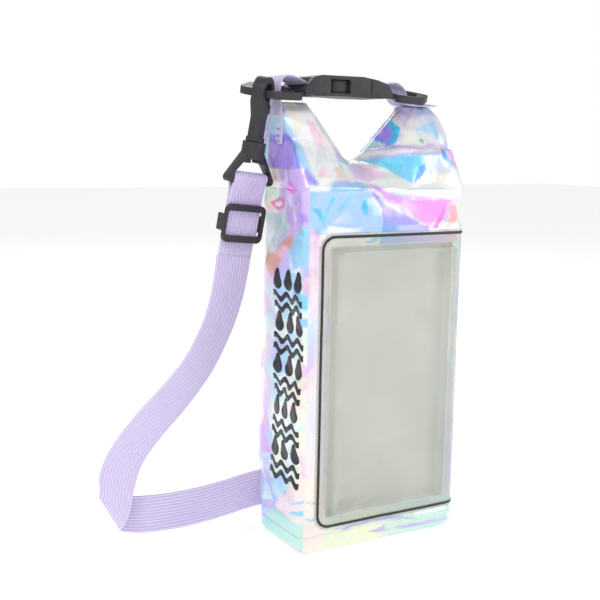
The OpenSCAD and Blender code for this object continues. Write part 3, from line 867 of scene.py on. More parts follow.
SHARDS = (
    Shard(Face.LEFT, ((-34, 236), (0, 236), (2, 205), (-20, 200), (-34, 203)), LILAC, (206, 184, 232),
          3),
    Shard(Face.LEFT, ((-24, 224), (-12, 230), (-4, 226), (-14, 221)), (224, 116, 214), PINK, 1.2),
    Shard(Face.LEFT, ((-31, 209), (-18, 213), (-20, 203), (-31, 205)), VIOLET, LILAC),
    Shard(Face.LEFT, ((-3, 210), (17, 208), (18, 184), (12, 183), (2, 190), (-8, 201)), (186, 216, 214),
          GREY, 1.5),
    Shard(Face.LEFT, ((-4, 217), (2, 218.5), (12, 215), (4, 210.5), (-4, 212)), PLUM, (206, 104, 150)),
    Shard(Face.LEFT, ((-1, 215.5), (3, 216), (8, 214.5), (3, 212.8), (-1, 213.5)), (238, 226, 238),
          None, 0.5),
    Shard(Face.LEFT,
          ((-20, 197), (-8, 195), (2, 186), (14, 183), (14, 177), (6, 169), (1, 172), (-5, 181),
           (-15, 188)),
          PEACH, (206, 160, 146), 1.2),
    Shard(Face.LEFT, ((-14, 188), (-7, 190), (-3, 183), (-8, 180)), BLUSH, LILAC, 1.0),
    Shard(Face.LEFT, ((-34, 204), (-20, 199), (-13, 185), (-18, 177), (-34, 180)), (160, 224, 240), SKY,
          1.2),
    Shard(Face.LEFT, ((-34, 152), (-14, 158), (-20, 165), (-34, 161)), CYAN, SKY, 1.2),
    Shard(Face.LEFT, ((-34, 149), (-24, 147), (-20, 141), (-34, 143)), DEEP, SKY, 1.0, 0.7),
    Shard(Face.LEFT, ((2, 168), (12, 168), (15, 110), (12, 80), (6, 80)), (204, 208, 212),
          (206, 212, 222), 3, 0.7),
    Shard(Face.LEFT, ((-8, 152), (2, 148), (6, 143), (1, 144)), (186, 150, 214), LILAC),
    Shard(Face.LEFT, ((3, 58), (15, 74), (18, 70), (14, 54)), (206, 164, 206), LILAC),
    Shard(Face.LEFT, ((0, 52), (15, 52), (14, 35), (4, 31)), (188, 194, 232), (204, 206, 236), 1.5),
    Shard(Face.LEFT, ((-34, 52), (2, 22), (-34, 20)), CREAM, BLUSH, 1.0),
    Shard(Face.LEFT, ((-34, 30), (-10, 23.5), (-34, 26.5)), CYAN, SKY, 0.5, 0.8),
    Shard(Face.LEFT, ((-34, 38), (-20, 30), (-34, 35)), SKY, CYAN, 0.5, 0.8),
    Shard(Face.LEFT, ((-34, 21), (4, 21), (22, 3), (22, -3), (-34, -3)), (196, 230, 222),
          (178, 224, 216), 2),
    Shard(Face.FRONT, ((-68, 226), (-28, 227), (-17, 213), (-14, 198), (-58, 198), (-68, 205)), SKY,
          (170, 198, 240), 1.0),
    Shard(Face.FRONT, ((-64, 214), (-55, 203), (-58, 213)), DEEP, CYAN, 0.6),
    Shard(Face.FRONT, ((-67, 213), (-66, 225), (-61, 225)), CYAN, SKY, 0.8),
    Shard(Face.FRONT, ((-57, 203), (-51, 220), (-49, 219)), CYAN, None, 0.6),
    Shard(Face.FRONT, ((-47, 211), (-39, 222), (-36, 222), (-42, 213)), (110, 196, 240), SKY, 0.7),
    Shard(Face.FRONT, ((-30, 217), (-26.5, 218.5), (-25, 213), (-26.5, 208.5), (-30, 211)), DEEP, None,
          0.7, 1.0),
    Shard(Face.FRONT, ((-51, 205), (-40, 211), (-32, 206), (-36, 203.5)), (228, 222, 240), SKY, 0.8),
    Shard(Face.FRONT, ((-53, 203), (-28, 200.5), (-36, 198.5), (-52, 199)), CREAM, WHITE, 0.8),
    Shard(Face.FRONT,
          ((-15, 198), (-15.5, 212), (-27, 227), (-10, 214), (8, 206), (21, 201), (21, 197)), BLUE,
          (190, 158, 240), 0.8),
    Shard(Face.FRONT, ((-16, 214), (-22, 224), (-12, 214)), (120, 150, 236), BLUE, 0.6),
    Shard(Face.FRONT,
          ((-26, 227), (-10, 222), (10, 217), (38, 217), (30, 207), (22, 200), (8, 208), (-8, 216)),
          (206, 160, 234), PINK, 0.9),
    Shard(Face.FRONT, ((-17, 220), (0, 215), (18, 203), (5, 208), (-9, 214)), (234, 224, 246), LILAC,
          0.7),
    Shard(Face.FRONT, ((24, 200), (37, 216), (33, 205), (28, 199)), ROSE, (250, 150, 214), 0.8, 1.0),
    Shard(Face.FRONT, ((37, 215), (44, 213), (45, 203), (34, 199), (39, 207)), (241, 186, 204), PEACH,
          0.8),
    Shard(Face.FRONT, ((-52, 229), (-20, 226), (0, 221), (44, 217), (52, 232), (-20, 236)), WHITE,
          (244, 246, 244), 1.0),
    Shard(Face.FRONT, ((14, 224), (24, 221.5), (44, 218), (44, 224)), (224, 240, 238), WHITE, 1.0),
    Shard(Face.FRONT, ((-58, 197), (-26, 196), (-26, 190), (-52, 190)), CREAM, CREAM, 0.8),
    Shard(Face.FRONT, ((-27, 192), (-17, 197), (-14, 196), (-20, 192)), (70, 196, 220), CYAN, 0.5),
    Shard(Face.FRONT, ((-15, 197), (20, 197), (20, 191), (-15, 191)), BLUE, LILAC, 0.8),
    Shard(Face.FRONT, ((20, 197), (44, 197), (44, 191), (20, 191)), LILAC, (240, 190, 226), 0.8),
    Shard(Face.FRONT, ((-68, 196), (-50, 196), (-50, 52), (-68, 52)), (240, 226, 238), (244, 236, 240),
          1.5, 0.75),
    Shard(Face.FRONT, ((-68, 140), (-59, 150), (-59, 120), (-68, 110)), (196, 226, 244), LILAC, 2, 0.7),
    Shard(Face.FRONT, ((-68, 52), (-50, 44), (-50, 20), (-68, 22)), CREAM, (250, 236, 226), 1.0),
    Shard(Face.FRONT, ((-68, 36), (-58, 34.6), (-50, 35), (-58, 33.4)), (140, 200, 224), SKY, 0.4),
    Shard(Face.FRONT, ((-68, 26), (-60, 22), (-53, 25), (-60, 24)), (120, 200, 232), SKY, 0.5),
    Shard(Face.FRONT, ((-70, 22), (-50, 20), (-48, -4), (-70, -4)), (240, 222, 220), CREAM, 2.5),
    Shard(Face.FRONT, ((-50, 22), (-8, 22), (-8, -4), (-50, -4)), (232, 238, 218), LEMON, 4),
    Shard(Face.FRONT, ((-8, 22), (52, 22), (52, -4), (-8, -4)), (218, 236, 222), (200, 232, 220), 4),
    Shard(Face.FRONT,
          ((-49, 15), (-40, 14), (-20, 15.6), (0, 15.6), (20, 10), (4, 13), (-14, 14), (-36, 12.6)),
          (166, 168, 226), (186, 160, 216), 0.6),
    Shard(Face.FRONT, ((-17, 7.6), (-4, 10), (-5, 5.6)), (180, 168, 226), LILAC, 0.7),
    Shard(Face.FRONT, ((-6, 6.6), (20, 7.2), (46, 6.6), (46, 4.6), (10, 5)), (190, 176, 222), LILAC,
          0.6),
    Shard(Face.MOUTH, ((-72, 280), (-48, 280), (-38, 238), (-56, 222), (-72, 222)), WHITE,
          (248, 250, 248), 1.5),
    Shard(Face.MOUTH, ((-71, 280), (-66, 262), (-64, 236), (-61, 226), (-72, 226)), LILAC, VIOLET, 1.2),
    Shard(Face.MOUTH, ((-69.5, 272), (-64.5, 271), (-62, 240), (-62, 228), (-65.5, 240)),
          (196, 226, 240), SKY, 0.9),
    Shard(Face.MOUTH, ((-63, 276), (-58, 276), (-60, 256), (-62.5, 250)), LEMON, CREAM, 0.9),
    Shard(Face.MOUTH, ((-69.5, 262), (-68.4, 262), (-64, 232), (-60, 226), (-66, 236)), VIOLET, BLUE,
          0.6),
    Shard(Face.MOUTH, ((-54.5, 262), (-50, 261), (-45, 249), (-53, 248)), BLUSH, (244, 222, 232), 0.9),
    Shard(Face.MOUTH, ((-54, 248), (-44, 249), (-41, 242), (-58, 236)), (226, 229, 230), WHITE, 1.0),
    Shard(Face.MOUTH, ((-60, 230), (-53, 238), (-44, 237), (-50, 230)), BLUSH, WHITE, 1.0),
    Shard(Face.MOUTH, ((-44, 237), (-38, 237), (-35, 231), (-46, 230)), (246, 224, 212), CREAM, 0.9),
    Shard(Face.MOUTH, ((-34, 246), (-8, 247.5), (-13, 238), (-24, 235), (-38, 240)), (204, 226, 232),
          GREY, 1.0),
    Shard(Face.MOUTH, ((-14, 240.5), (0, 242), (22, 243.5), (20, 238), (9, 228), (-2, 233)),
          (148, 216, 241), (112, 196, 236), 0.7),
    Shard(Face.MOUTH, ((-6, 239), (6, 238), (7, 236.4), (-4, 236.6)), CYAN, None, 0.7),
    Shard(Face.MOUTH, ((11, 228.5), (15, 234), (22, 240), (23, 236), (18, 231)), (92, 140, 228), BLUE,
          0.6, 1.0),
    Shard(Face.MOUTH, ((-33, 237), (-12, 234), (-3, 230.5), (-22, 227), (-32, 229)), (228, 206, 242),
          BLUSH, 1.0),
    Shard(Face.MOUTH, ((-24, 237), (-14, 239), (-4, 233), (-14, 234)), (246, 226, 216), WHITE, 0.9),
    Shard(Face.MOUTH, ((23, 240), (35, 247), (46, 235), (40, 233), (24, 234)), (200, 212, 232), GREY,
          0.9),
    Shard(Face.MOUTH, ((35, 247), (37.5, 248), (46, 236), (40, 239), (36, 243)), (80, 148, 226), SKY,
          0.5, 1.0),
    Shard(Face.MOUTH, ((38, 249), (42, 251), (48, 238), (46, 236)), (242, 188, 230), PINK, 0.6),
    Shard(Face.MOUTH, ((13, 228), (20, 232.5), (40, 233), (34, 230)), LEMON, CREAM, 0.8),
    Shard(Face.MOUTH, ((-12, 247.5), (34, 251), (50, 254), (50, 280), (20, 284), (-8, 262)), WHITE,
          GREY, 0.8),
    Shard(Face.MOUTH, ((-15, 246), (-13, 254), (-9, 258.6), (-4, 258.8), (0, 254), (3, 246)),
          (186, 226, 230), (206, 228, 236), 0.7),
    Shard(Face.MOUTH, ((-22, 246), (-15, 253), (-15.5, 246)), (160, 138, 214), LILAC, 0.6),
    Shard(Face.MOUTH,
          ((-9, 260), (0, 266.5), (10, 269.5), (15, 266.5), (17.5, 260), (9, 250), (4, 247.5),
           (1.5, 254), (-2, 259.4)),
          BLUE, CYAN, 0.6, 1.0),
    Shard(Face.MOUTH,
          ((-4, 262), (2, 266), (9, 268), (13, 264), (12, 257), (6, 251), (4, 250), (2.6, 256)),
          (160, 132, 236), (182, 158, 240), 1.2),
    Shard(Face.MOUTH, ((3, 263), (7, 264), (9, 259), (6, 256)), (206, 200, 238), LILAC, 1.4, 0.8),
    Shard(Face.MOUTH, ((7, 272), (12, 278), (19, 279), (16, 273), (11, 269)), (132, 98, 206), VIOLET,
          0.6, 1.0),
    Shard(Face.MOUTH, ((14, 272), (18.5, 273), (18.5, 268.5), (13, 269.5)), LEMON, CREAM, 0.5),
    Shard(Face.MOUTH, ((18, 281), (38, 281), (29, 271), (20, 262), (18.6, 271)), (208, 196, 222),
          (214, 208, 228), 0.8),
    Shard(Face.MOUTH, ((20, 261), (30, 270), (37, 275), (42, 272), (41, 262)), (244, 232, 228),
          (206, 220, 246), 0.9),
    Shard(Face.MOUTH, ((24, 260), (41, 264), (41, 251), (36, 257)), (196, 232, 246), SKY, 0.9),
    Shard(Face.MOUTH, ((12, 248), (19, 259), (30, 258.5), (40, 251.5)), (246, 240, 226), WHITE, 0.8),
    Shard(Face.MOUTH, ((24, 253.6), (26.5, 254.6), (28, 252.4), (25.6, 251.8)), (74, 190, 180), None,
          0.5),
    Shard(Face.MOUTH, ((34, 276), (38.5, 275), (38, 273), (35, 273.6)), (78, 206, 212), None, 0.5),
    Shard(Face.MOUTH, ((-38, 241.5), (-20, 247), (34, 251), (38, 250), (0, 246)), (206, 196, 218),
          LILAC, 0.4, 0.8),
    Shard(Face.MOUTH, ((-20, 245.6), (34, 249), (36, 247.4), (0, 243.4), (-14, 242)), WHITE,
          (236, 238, 246), 0.5),
)

PEARL_RAMP = (
    (250, 250, 252), (214, 240, 246), (184, 224, 242), (196, 206, 242), (216, 198, 240),
    (240, 206, 236), (248, 232, 232), (248, 246, 228), (214, 240, 228),
)


def inside_distance(points: np.ndarray, outline: tuple[Point, ...]) -> np.ndarray:
    """Signed distance from points to an outline, positive inside.

    Args:
        points: rows of two numbers.
        outline: the corners in order.

    Returns:
        One distance for each point.
    """
    best = np.full(len(points), 1e9)
    crossings = np.zeros(len(points), bool)
    for a, b in zip(outline, outline[1:] + outline[:1]):
        a, b = np.array(a, float), np.array(b, float)
        edge, to = b - a, points - a
        t = np.clip((to @ edge) / (edge @ edge), 0, 1)
        best = np.minimum(best, np.linalg.norm(to - t[:, None] * edge, axis=1))
        rises = (a[1] > points[:, 1]) != (b[1] > points[:, 1])
        at = a[0] + (points[:, 1] - a[1]) * edge[0] / (edge[1] if edge[1] else 1e-9)
        crossings ^= rises & (points[:, 0] < at)
    return np.where(crossings, best, -best)


@dataclass
class Film:
    """The pearly film: body, base and mouth, all creased and tinted by the same functions."""

    left: float = -68.0
    right: float = 50.0
    half_depth: float = 33.0
    corner: float = 6.0
    back_corner: float = 20.0
    base_h: float = 12.0
    shoulder: float = 224.0
    step: float = 1.2
    vivid: float = 1.3
    crease_limit: float = 3.2
    crease_share: float = 0.62
    hole_x: tuple[float, float] = (-50.0, 40.0)
    hole_z: tuple[float, float] = (23.5, 190.5)
    wall: float = 0.5
    ear_depth: float = 5.0

    def __post_init__(self) -> None:
        """Scatters the creases, large, middle and small."""
        low, high = (-75, -40, -5), (58, 40, 282)
        self.large = Crumple(11, low, high, 40, 0.30)
        self.middle = Crumple(23, low, high, 21, 0.34)
        self.small = Crumple(37, low, high, 11, 0.30)
        self.counter = Crumple(53, low, high, 30, 0.30)

    def plan(self) -> np.ndarray:
        """The outline seen from above, from the left end of the front: X, Y and the outward normal."""
        r, d = self.corner, self.half_depth
        front = [self.left + r, *self.hole_x, self.right - r]
        rows = [(x, -d, 0, -1) for x in spaced(front, self.step)[:-1]]
        big = self.back_corner
        rows += self._bend(self.right - r, -d + r, -90, r)
        rows += [(self.right, y, 1, 0) for y in spaced([-d + r, d - r], self.step)[:-1]]
        rows += self._bend(self.right - r, d - r, 0, r)
        rows += [(x, d, 0, 1) for x in spaced([self.right - r, self.left + big], self.step)[:-1]]
        rows += self._bend(self.left + big, d - big, 90, big)
        rows += [(self.left, y, -1, 0) for y in spaced([d - big, -d + r], self.step)[:-1]]
        rows += self._bend(self.left + r, -d + r, 180, r)
        return np.array(rows)

    @staticmethod
    def _bend(x: float, y: float, start: float, r: float) -> list:
        """A quarter turn of the plan, without its last point."""
        angles = np.radians(np.linspace(start, start + 90, max(8, round(r * 1.1)))[:-1])
        return [(x + r * math.cos(a), y + r * math.sin(a), math.cos(a), math.sin(a)) for a in angles]

    def wrap(self, s: np.ndarray) -> tuple[np.ndarray, np.ndarray]:
        """Places along the front and round its two corners.

        Args:
            s: millimetres along the film, which are X on the flat front.

        Returns:
            Plan points and outward normals.
        """
        s = np.asarray(s, float)
        r, d = self.corner, self.half_depth
        quarter = r * math.pi / 2
        points, normals = np.empty((len(s), 2)), np.empty((len(s), 2))
        for side, edge in ((1, self.right - r), (-1, self.left + r)):
            over = (s - edge) * side
            turn = np.clip(over / r, 0, math.pi / 2)
            x = edge + side * r * np.sin(turn)
            y = -d + r - r * np.cos(turn) + np.maximum(over - quarter, 0)
            mask = s >= (self.left + self.right) / 2 if side > 0 else s < (self.left + self.right) / 2
            flat = over <= 0
            points[mask] = np.stack([np.where(flat, s, x), np.where(flat, -d, y)], 1)[mask]
            normals[mask] = np.stack([side * np.sin(turn), -np.cos(turn)], 1)[mask]
        return points, normals

    def strength(self, p: np.ndarray) -> np.ndarray:
        """How deep the creases are at points, in shares of the full depth."""
        x, y, z = p.T
        front = smoothstep(-30, -32.5, y)
        flange = smoothstep(-62, -58, x) * smoothstep(12, 16, z) * smoothstep(203, 198, z)
        calm = 1 - 0.9 * front * flange
        corner_calm = 1 - 0.85 * smoothstep(43, 45, x) * smoothstep(-18, -22, y) * smoothstep(204, 199, z)
        ground = smoothstep(0.5, 12, z)
        back = 1 - 0.25 * smoothstep(28, 32, y)
        patch = 1 - 0.9 * (smoothstep(30, 32.5, y) * smoothstep(-20, -15, x) * smoothstep(36, 31, x)
                           * smoothstep(47, 42, z))
        mouth = 1 + 0.5 * smoothstep(226, 240, z)
        return calm * corner_calm * ground * back * patch * mouth

    @staticmethod
    def warped(p: np.ndarray) -> np.ndarray:
        """Points bent a little, so that no crease runs quite straight."""
        return p + 2.5 * np.sin(p[:, [1, 2, 0]] / 17.0)

    def raw_crease(self, p: np.ndarray) -> np.ndarray:
        """Height of the creases at points before it is levelled and limited."""
        warp = self.warped(p)
        rise = self.large(warp)[0] - 0.7 * self.counter(warp)[0]
        fine = self.middle(warp)[0] * 0.55 + self.small(warp)[0] * 0.4
        return rise * 0.55 + fine

    def crease(self, p: np.ndarray) -> np.ndarray:
        """Height of the creases at points, in millimetres."""
        raw = self.raw_crease(p) - self.level
        return np.clip(raw, -self.crease_limit, self.crease_limit) * self.crease_share

    @cached_property
    def level(self) -> float:
        """The creases' middle height over the walls."""
        walls = [(x, y, z) for x, y, *_ in self.plan()[::6] for z in np.linspace(20, 220, 12)]
        return float(np.median(self.raw_crease(np.array(walls))))

    def displaced(self, p: np.ndarray, normals: np.ndarray, out: float = 0.0) -> np.ndarray:
        """Points moved out of the plain shape by the creases and a set distance."""
        depth = np.maximum(self.crease(p) * self.strength(p), -0.15 - 4 * smoothstep(18, 34, p[:, 2]))
        return p + normals * (depth + out)[:, None]

    def tints(self, p: np.ndarray, n: np.ndarray) -> np.ndarray:
        """Colour of the film at points, with painted reflections: a hue shifted by each facet's tilt, and
        the reflected shards.

        Args:
            p: places on the plain shape, in millimetres.
            n: normals of the creased film.

        Returns:
            Rows of scene-linear red, green, blue and 1.
        """
        warp = self.warped(p)
        hue = self.large(warp)[1] * 0.6 + self.middle(warp)[1] * 0.55 + self.small(warp)[1] * 0.15
        # Painted reflection: the facet's normal shifts the hue, as the film's iridescent colour changes
        # with how light falls on it.
        hue = hue + n @ np.array((0.9, 0.7, 1.3)) * 0.55 + p @ np.array((0.004, 0.006, 0.003))
        ramp = np.array([linear(c) for c in PEARL_RAMP])
        place = (hue % 1.0) * len(ramp)
        i = place.astype(int) % len(ramp)
        part = (place % 1.0)[:, None]
        tint = ramp[i] * (1 - part) + ramp[(i + 1) % len(ramp)] * part
        wavy = p + 0.5 * np.sin(p[:, [2, 0, 1]] / 3.7) + 0.2 * np.sin(p[:, [1, 2, 0]] / 1.9 + 1.3)
        left = (p[:, 0] < self.left + 3) & (p[:, 2] < 236)
        mouth = (p[:, 2] >= self.shoulder) & ~left & (p[:, 1] < 9)
        front = ~left & (p[:, 1] < -self.half_depth + 6)
        for shard in SHARDS:
            area = {Face.LEFT: left, Face.FRONT: front, Face.MOUTH: mouth}[shard.face]
            flat = wavy[:, [1, 2]] if shard.face is Face.LEFT else wavy[:, [0, 2]]
            outline = np.array(shard.outline, float)
            near = area & (flat >= outline.min(0) - 4).all(1) & (flat <= outline.max(0) + 4).all(1)
            if not near.any():
                continue
            depth = inside_distance(flat[near], shard.outline)
            cover = smoothstep(-0.7 * shard.soft, 0.7 * shard.soft, depth) * shard.strength
            run = (outline[len(outline) // 2] - outline[0])
            along = np.clip((flat[near] - outline[0]) @ run / (run @ run), 0, 1)[:, None]
            colour = linear(shard.first) * (1 - along) + linear(shard.last or shard.first) * along
            tint[near] = tint[near] * (1 - cover[:, None]) + colour * cover[:, None]
        grey = tint.mean(1, keepdims=True)
        tint = np.clip(grey + (tint - grey) * self.vivid, 0.02, 1) ** 1.06
        return np.concatenate([tint, np.ones((len(p), 1))], 1)

    def finish_piece(self, piece: bpy.types.Object, plain: np.ndarray,
                     finish: bpy.types.Material) -> None:
        """Tints a film piece, gives it its wall and dresses it.

        Args:
            piece: the creased film, one point for each row of plain.
            plain: places of its points on the plain shape, in millimetres.
            finish: its material.
        """
        mesh = piece.data
        normals = np.empty(len(mesh.vertices) * 3)
        mesh.vertices.foreach_get("normal", normals)
        layer = mesh.color_attributes.new("tint", "FLOAT_COLOR", "POINT")
        layer.data.foreach_set("color", self.tints(plain, normals.reshape(-1, 3)).ravel())
        modify(piece, "SOLIDIFY", thickness=self.wall * MM, offset=-1)
        dress(piece, finish)

    def body(self, finish: bpy.types.Material) -> None:
        """Makes the body, from the base's lap weld to the shoulder, open at the window."""
        plan = self.plan()
        levels = spaced([self.base_h, self.hole_z[0], self.hole_z[1], self.shoulder], self.step)
        plain = np.array([(x, y, z) for x, y, *_ in plan for z in levels])
        normals = np.array([(nx, ny, 0.0) for *_, nx, ny in plan for _ in levels])
        rows = len(levels)

        def keep(i: int, k: int) -> bool:
            """False inside the window's opening."""
            x = (plan[i][0] + plan[(i + 1) % len(plan)][0]) / 2
            z = (levels[k] + levels[k + 1]) / 2
            hole = self.hole_x[0] < x < self.hole_x[1] and self.hole_z[0] < z < self.hole_z[1]
            return not (hole and plan[i][1] == -self.half_depth)

        faces = grid_faces(len(plan), rows, True, keep)
        piece = new_piece("film_body", self.displaced(plain, normals), faces)
        used = np.zeros(len(plain), bool)
        used[[v for f in faces for v in f]] = True
        drop_loose(piece)
        self.finish_piece(piece, plain[used], finish)
        settle(piece, "bag", "holographic_film", "body_shell")

    def base(self, finish: bpy.types.Material) -> None:
        """Makes the base: its lap above the weld, a rounded foot and the flat bottom."""
        plan = self.plan()
        mid = np.array(((self.left + self.right) / 2, 0.0))
        fillet = 7.0
        rings = [(z, 0.0) for z in spaced([self.base_h, fillet], self.step)[:-1]]
        rings += [(fillet * (1 - math.sin(a)), fillet * (1 - math.cos(a)))
                  for a in np.radians(np.linspace(0, 90, 9))]
        points, plain = [], []
        for x, y, nx, ny in plan:
            for z, inset in rings:
                plain.append((x - nx * inset, y - ny * inset, z))
            edge = np.array((x - nx * fillet, y - ny * fillet))
            for share in (0.8, 0.5, 0.2, 0.0):
                spot = mid + (edge - mid) * share
                plain.append((spot[0], spot[1], 0.0))
        plain = np.array(plain)
        rows = len(rings) + 4
        normals = np.repeat(np.concatenate([plan[:, 2:], np.zeros((len(plan), 1))], 1), rows, axis=0)
        points = self.displaced(plain, normals)
        points[:, 2] = np.maximum(points[:, 2], self.wall)
        piece = new_piece("film_base", points, grid_faces(len(plan), rows, True))
        piece.data.flip_normals()
        self.finish_piece(piece, plain, finish)
        clean(piece)
        settle(piece, "bag", "holographic_film", "base_panel")

    def tape(self, finish: bpy.types.Material) -> None:
        """Makes the weld tape inside the film, where the base and the body overlap."""
        plan = self.plan()
        levels = spaced([9.0, 18.0], 3.0)
        points = [(x - nx * 1.1, y - ny * 1.1, z) for x, y, nx, ny in plan for z in levels]
        piece = new_piece("weld_tape", np.array(points), grid_faces(len(plan), len(levels), True))
        modify(piece, "SOLIDIFY", thickness=0.3 * MM, offset=-1)
        dress(piece, finish)
        settle(piece, "bag", "inner_sheet", "base_weld_tape")

    def back_panel(self, name: str, node: str, low: Point, high: Point, corner: float, out: float,
                   finish: bpy.types.Material) -> None:
        """Makes a welded strip or patch of film that follows the creased back.

        Args:
            name: the piece's name.
            node: the part that it stands for.
            low: lowest X and Z.
            high: highest X and Z.
            corner: radius of its corners.
            out: how far it stands off the film, in millimetres.
            finish: its material.
        """
        xs, zs = spaced([low[0], high[0]], 1.0), spaced([low[1], high[1]], 1.3)
        x, z = np.repeat(xs, len(zs)), np.tile(zs, len(xs))
        mid, half = (np.array(low) + high) / 2, (np.array(high) - low) / 2
        off = np.stack([x, z], 1) - mid
        q = np.abs(off) - (half - corner)
        reach = np.linalg.norm(np.maximum(q, 0), axis=1)
        pull = np.where(reach > corner, corner / np.maximum(reach, 1e-9), 1)[:, None]
        inner = np.sign(off) * (half - corner)
        round_off = (q > 0).all(1)[:, None]
        off = np.where(round_off, inner + (off - inner) * pull, off)
        plain = np.stack([mid[0] + off[:, 0], np.full(len(x), self.half_depth), mid[1] + off[:, 1]], 1)
        outward = np.tile((0.0, 1.0, 0.0), (len(x), 1))
        piece = new_piece(name, self.displaced(plain, outward, out), grid_faces(len(xs), len(zs)))
        piece.data.flip_normals()
        self.finish_piece(piece, plain + (9, 0, 5), finish)
        settle(piece, "bag", "holographic_film", node)

    RIDGE = ((-65.5, 275), (-48.5, 275), (-45, 270.5), (-28, 244.5), (-23, 240.6), (-15, 241), (-9, 244),
             (20, 271.5), (24, 275), (45.5, 275))

    def ridge(self, x: np.ndarray) -> tuple[np.ndarray, np.ndarray, np.ndarray]:
        """Height, middle Y and half depth of the mouth's ridge at places along it."""
        xs, zs = np.array(self.RIDGE, float).T
        z = np.interp(x, xs, zs)
        share = (z - 240) / 35
        return z, 3 + 5 * share, 2.2 + (self.ear_depth - 2.2) * share

    def mouth(self, finish: bpy.types.Material) -> None:
        """Makes the folded mouth: columns of film from the shoulder up to the ridge, and over it."""
        plan = self.plan()
        xs = np.array(self.RIDGE, float)[:, 0]
        share = (plan[:, 0] - self.left) / (self.right - self.left)
        ridge_x = xs[0] + (xs[-1] - xs[0]) * share
        top_z, mid_y, half = self.ridge(ridge_x)
        top_y = mid_y + half * np.clip(plan[:, 1] / self.half_depth, -1, 1)
        steps, over = 38, 4
        lift = np.linspace(0, 1, steps)
        plain, normals = [], []
        for i, (x, y, nx, ny) in enumerate(plan):
            foot = np.array((x, y, self.shoulder))
            head = np.array((ridge_x[i], top_y[i], top_z[i] - 0.8))
            lean = head - foot
            out = np.array((nx, ny, 0.0))
            out = unit(out - lean * (out @ lean) / (lean @ lean))
            frontness = max(0.0, -ny)
            ledge = frontness * smoothstep(-26, -12, np.array(x))
            belly = 1.6 * (1 - smoothstep(-16, 30, np.array(abs(x + 20) - 30)) * 0.5)
            for t in lift:
                spot = foot + lean * t
                z = spot[2]
                fold = ledge * (smoothstep(228, 245.5, z) - smoothstep(245.5, 247.2, z)) * 3.4
                bow = math.sin(math.pi * t) * belly
                plain.append(spot + out * (fold + bow))
                normals.append(out)
            for k in range(1, over + 1):
                a = k / over * math.pi / 2
                spot = head + np.array((0, (mid_y[i] - top_y[i]) * (1 - math.cos(a)), 0.8 * math.sin(a)))
                plain.append(spot)
                normals.append((0.0, 0.0, 1.0))
        plain, normals = np.array(plain), np.array(normals)
        rows = steps + over
        column = np.concatenate([np.ones(steps - 6), np.linspace(1, 0.15, 6), np.full(over, 0.1)])
        fade = np.tile(column, len(plan))
        points = plain + normals * (self.crease(plain) * self.strength(plain) * fade)[:, None]
        seam = np.arange(0, len(points), rows)
        side = np.concatenate([plan[:, 2:], np.zeros((len(plan), 1))], 1)
        points[seam] = self.displaced(plain[seam], side)
        piece = new_piece("film_mouth", points, grid_faces(len(plan), rows, True))
        self.finish_piece(piece, plain, finish)
        settle(piece, "bag", "holographic_film", "mouth_fold")


# ---- window ----


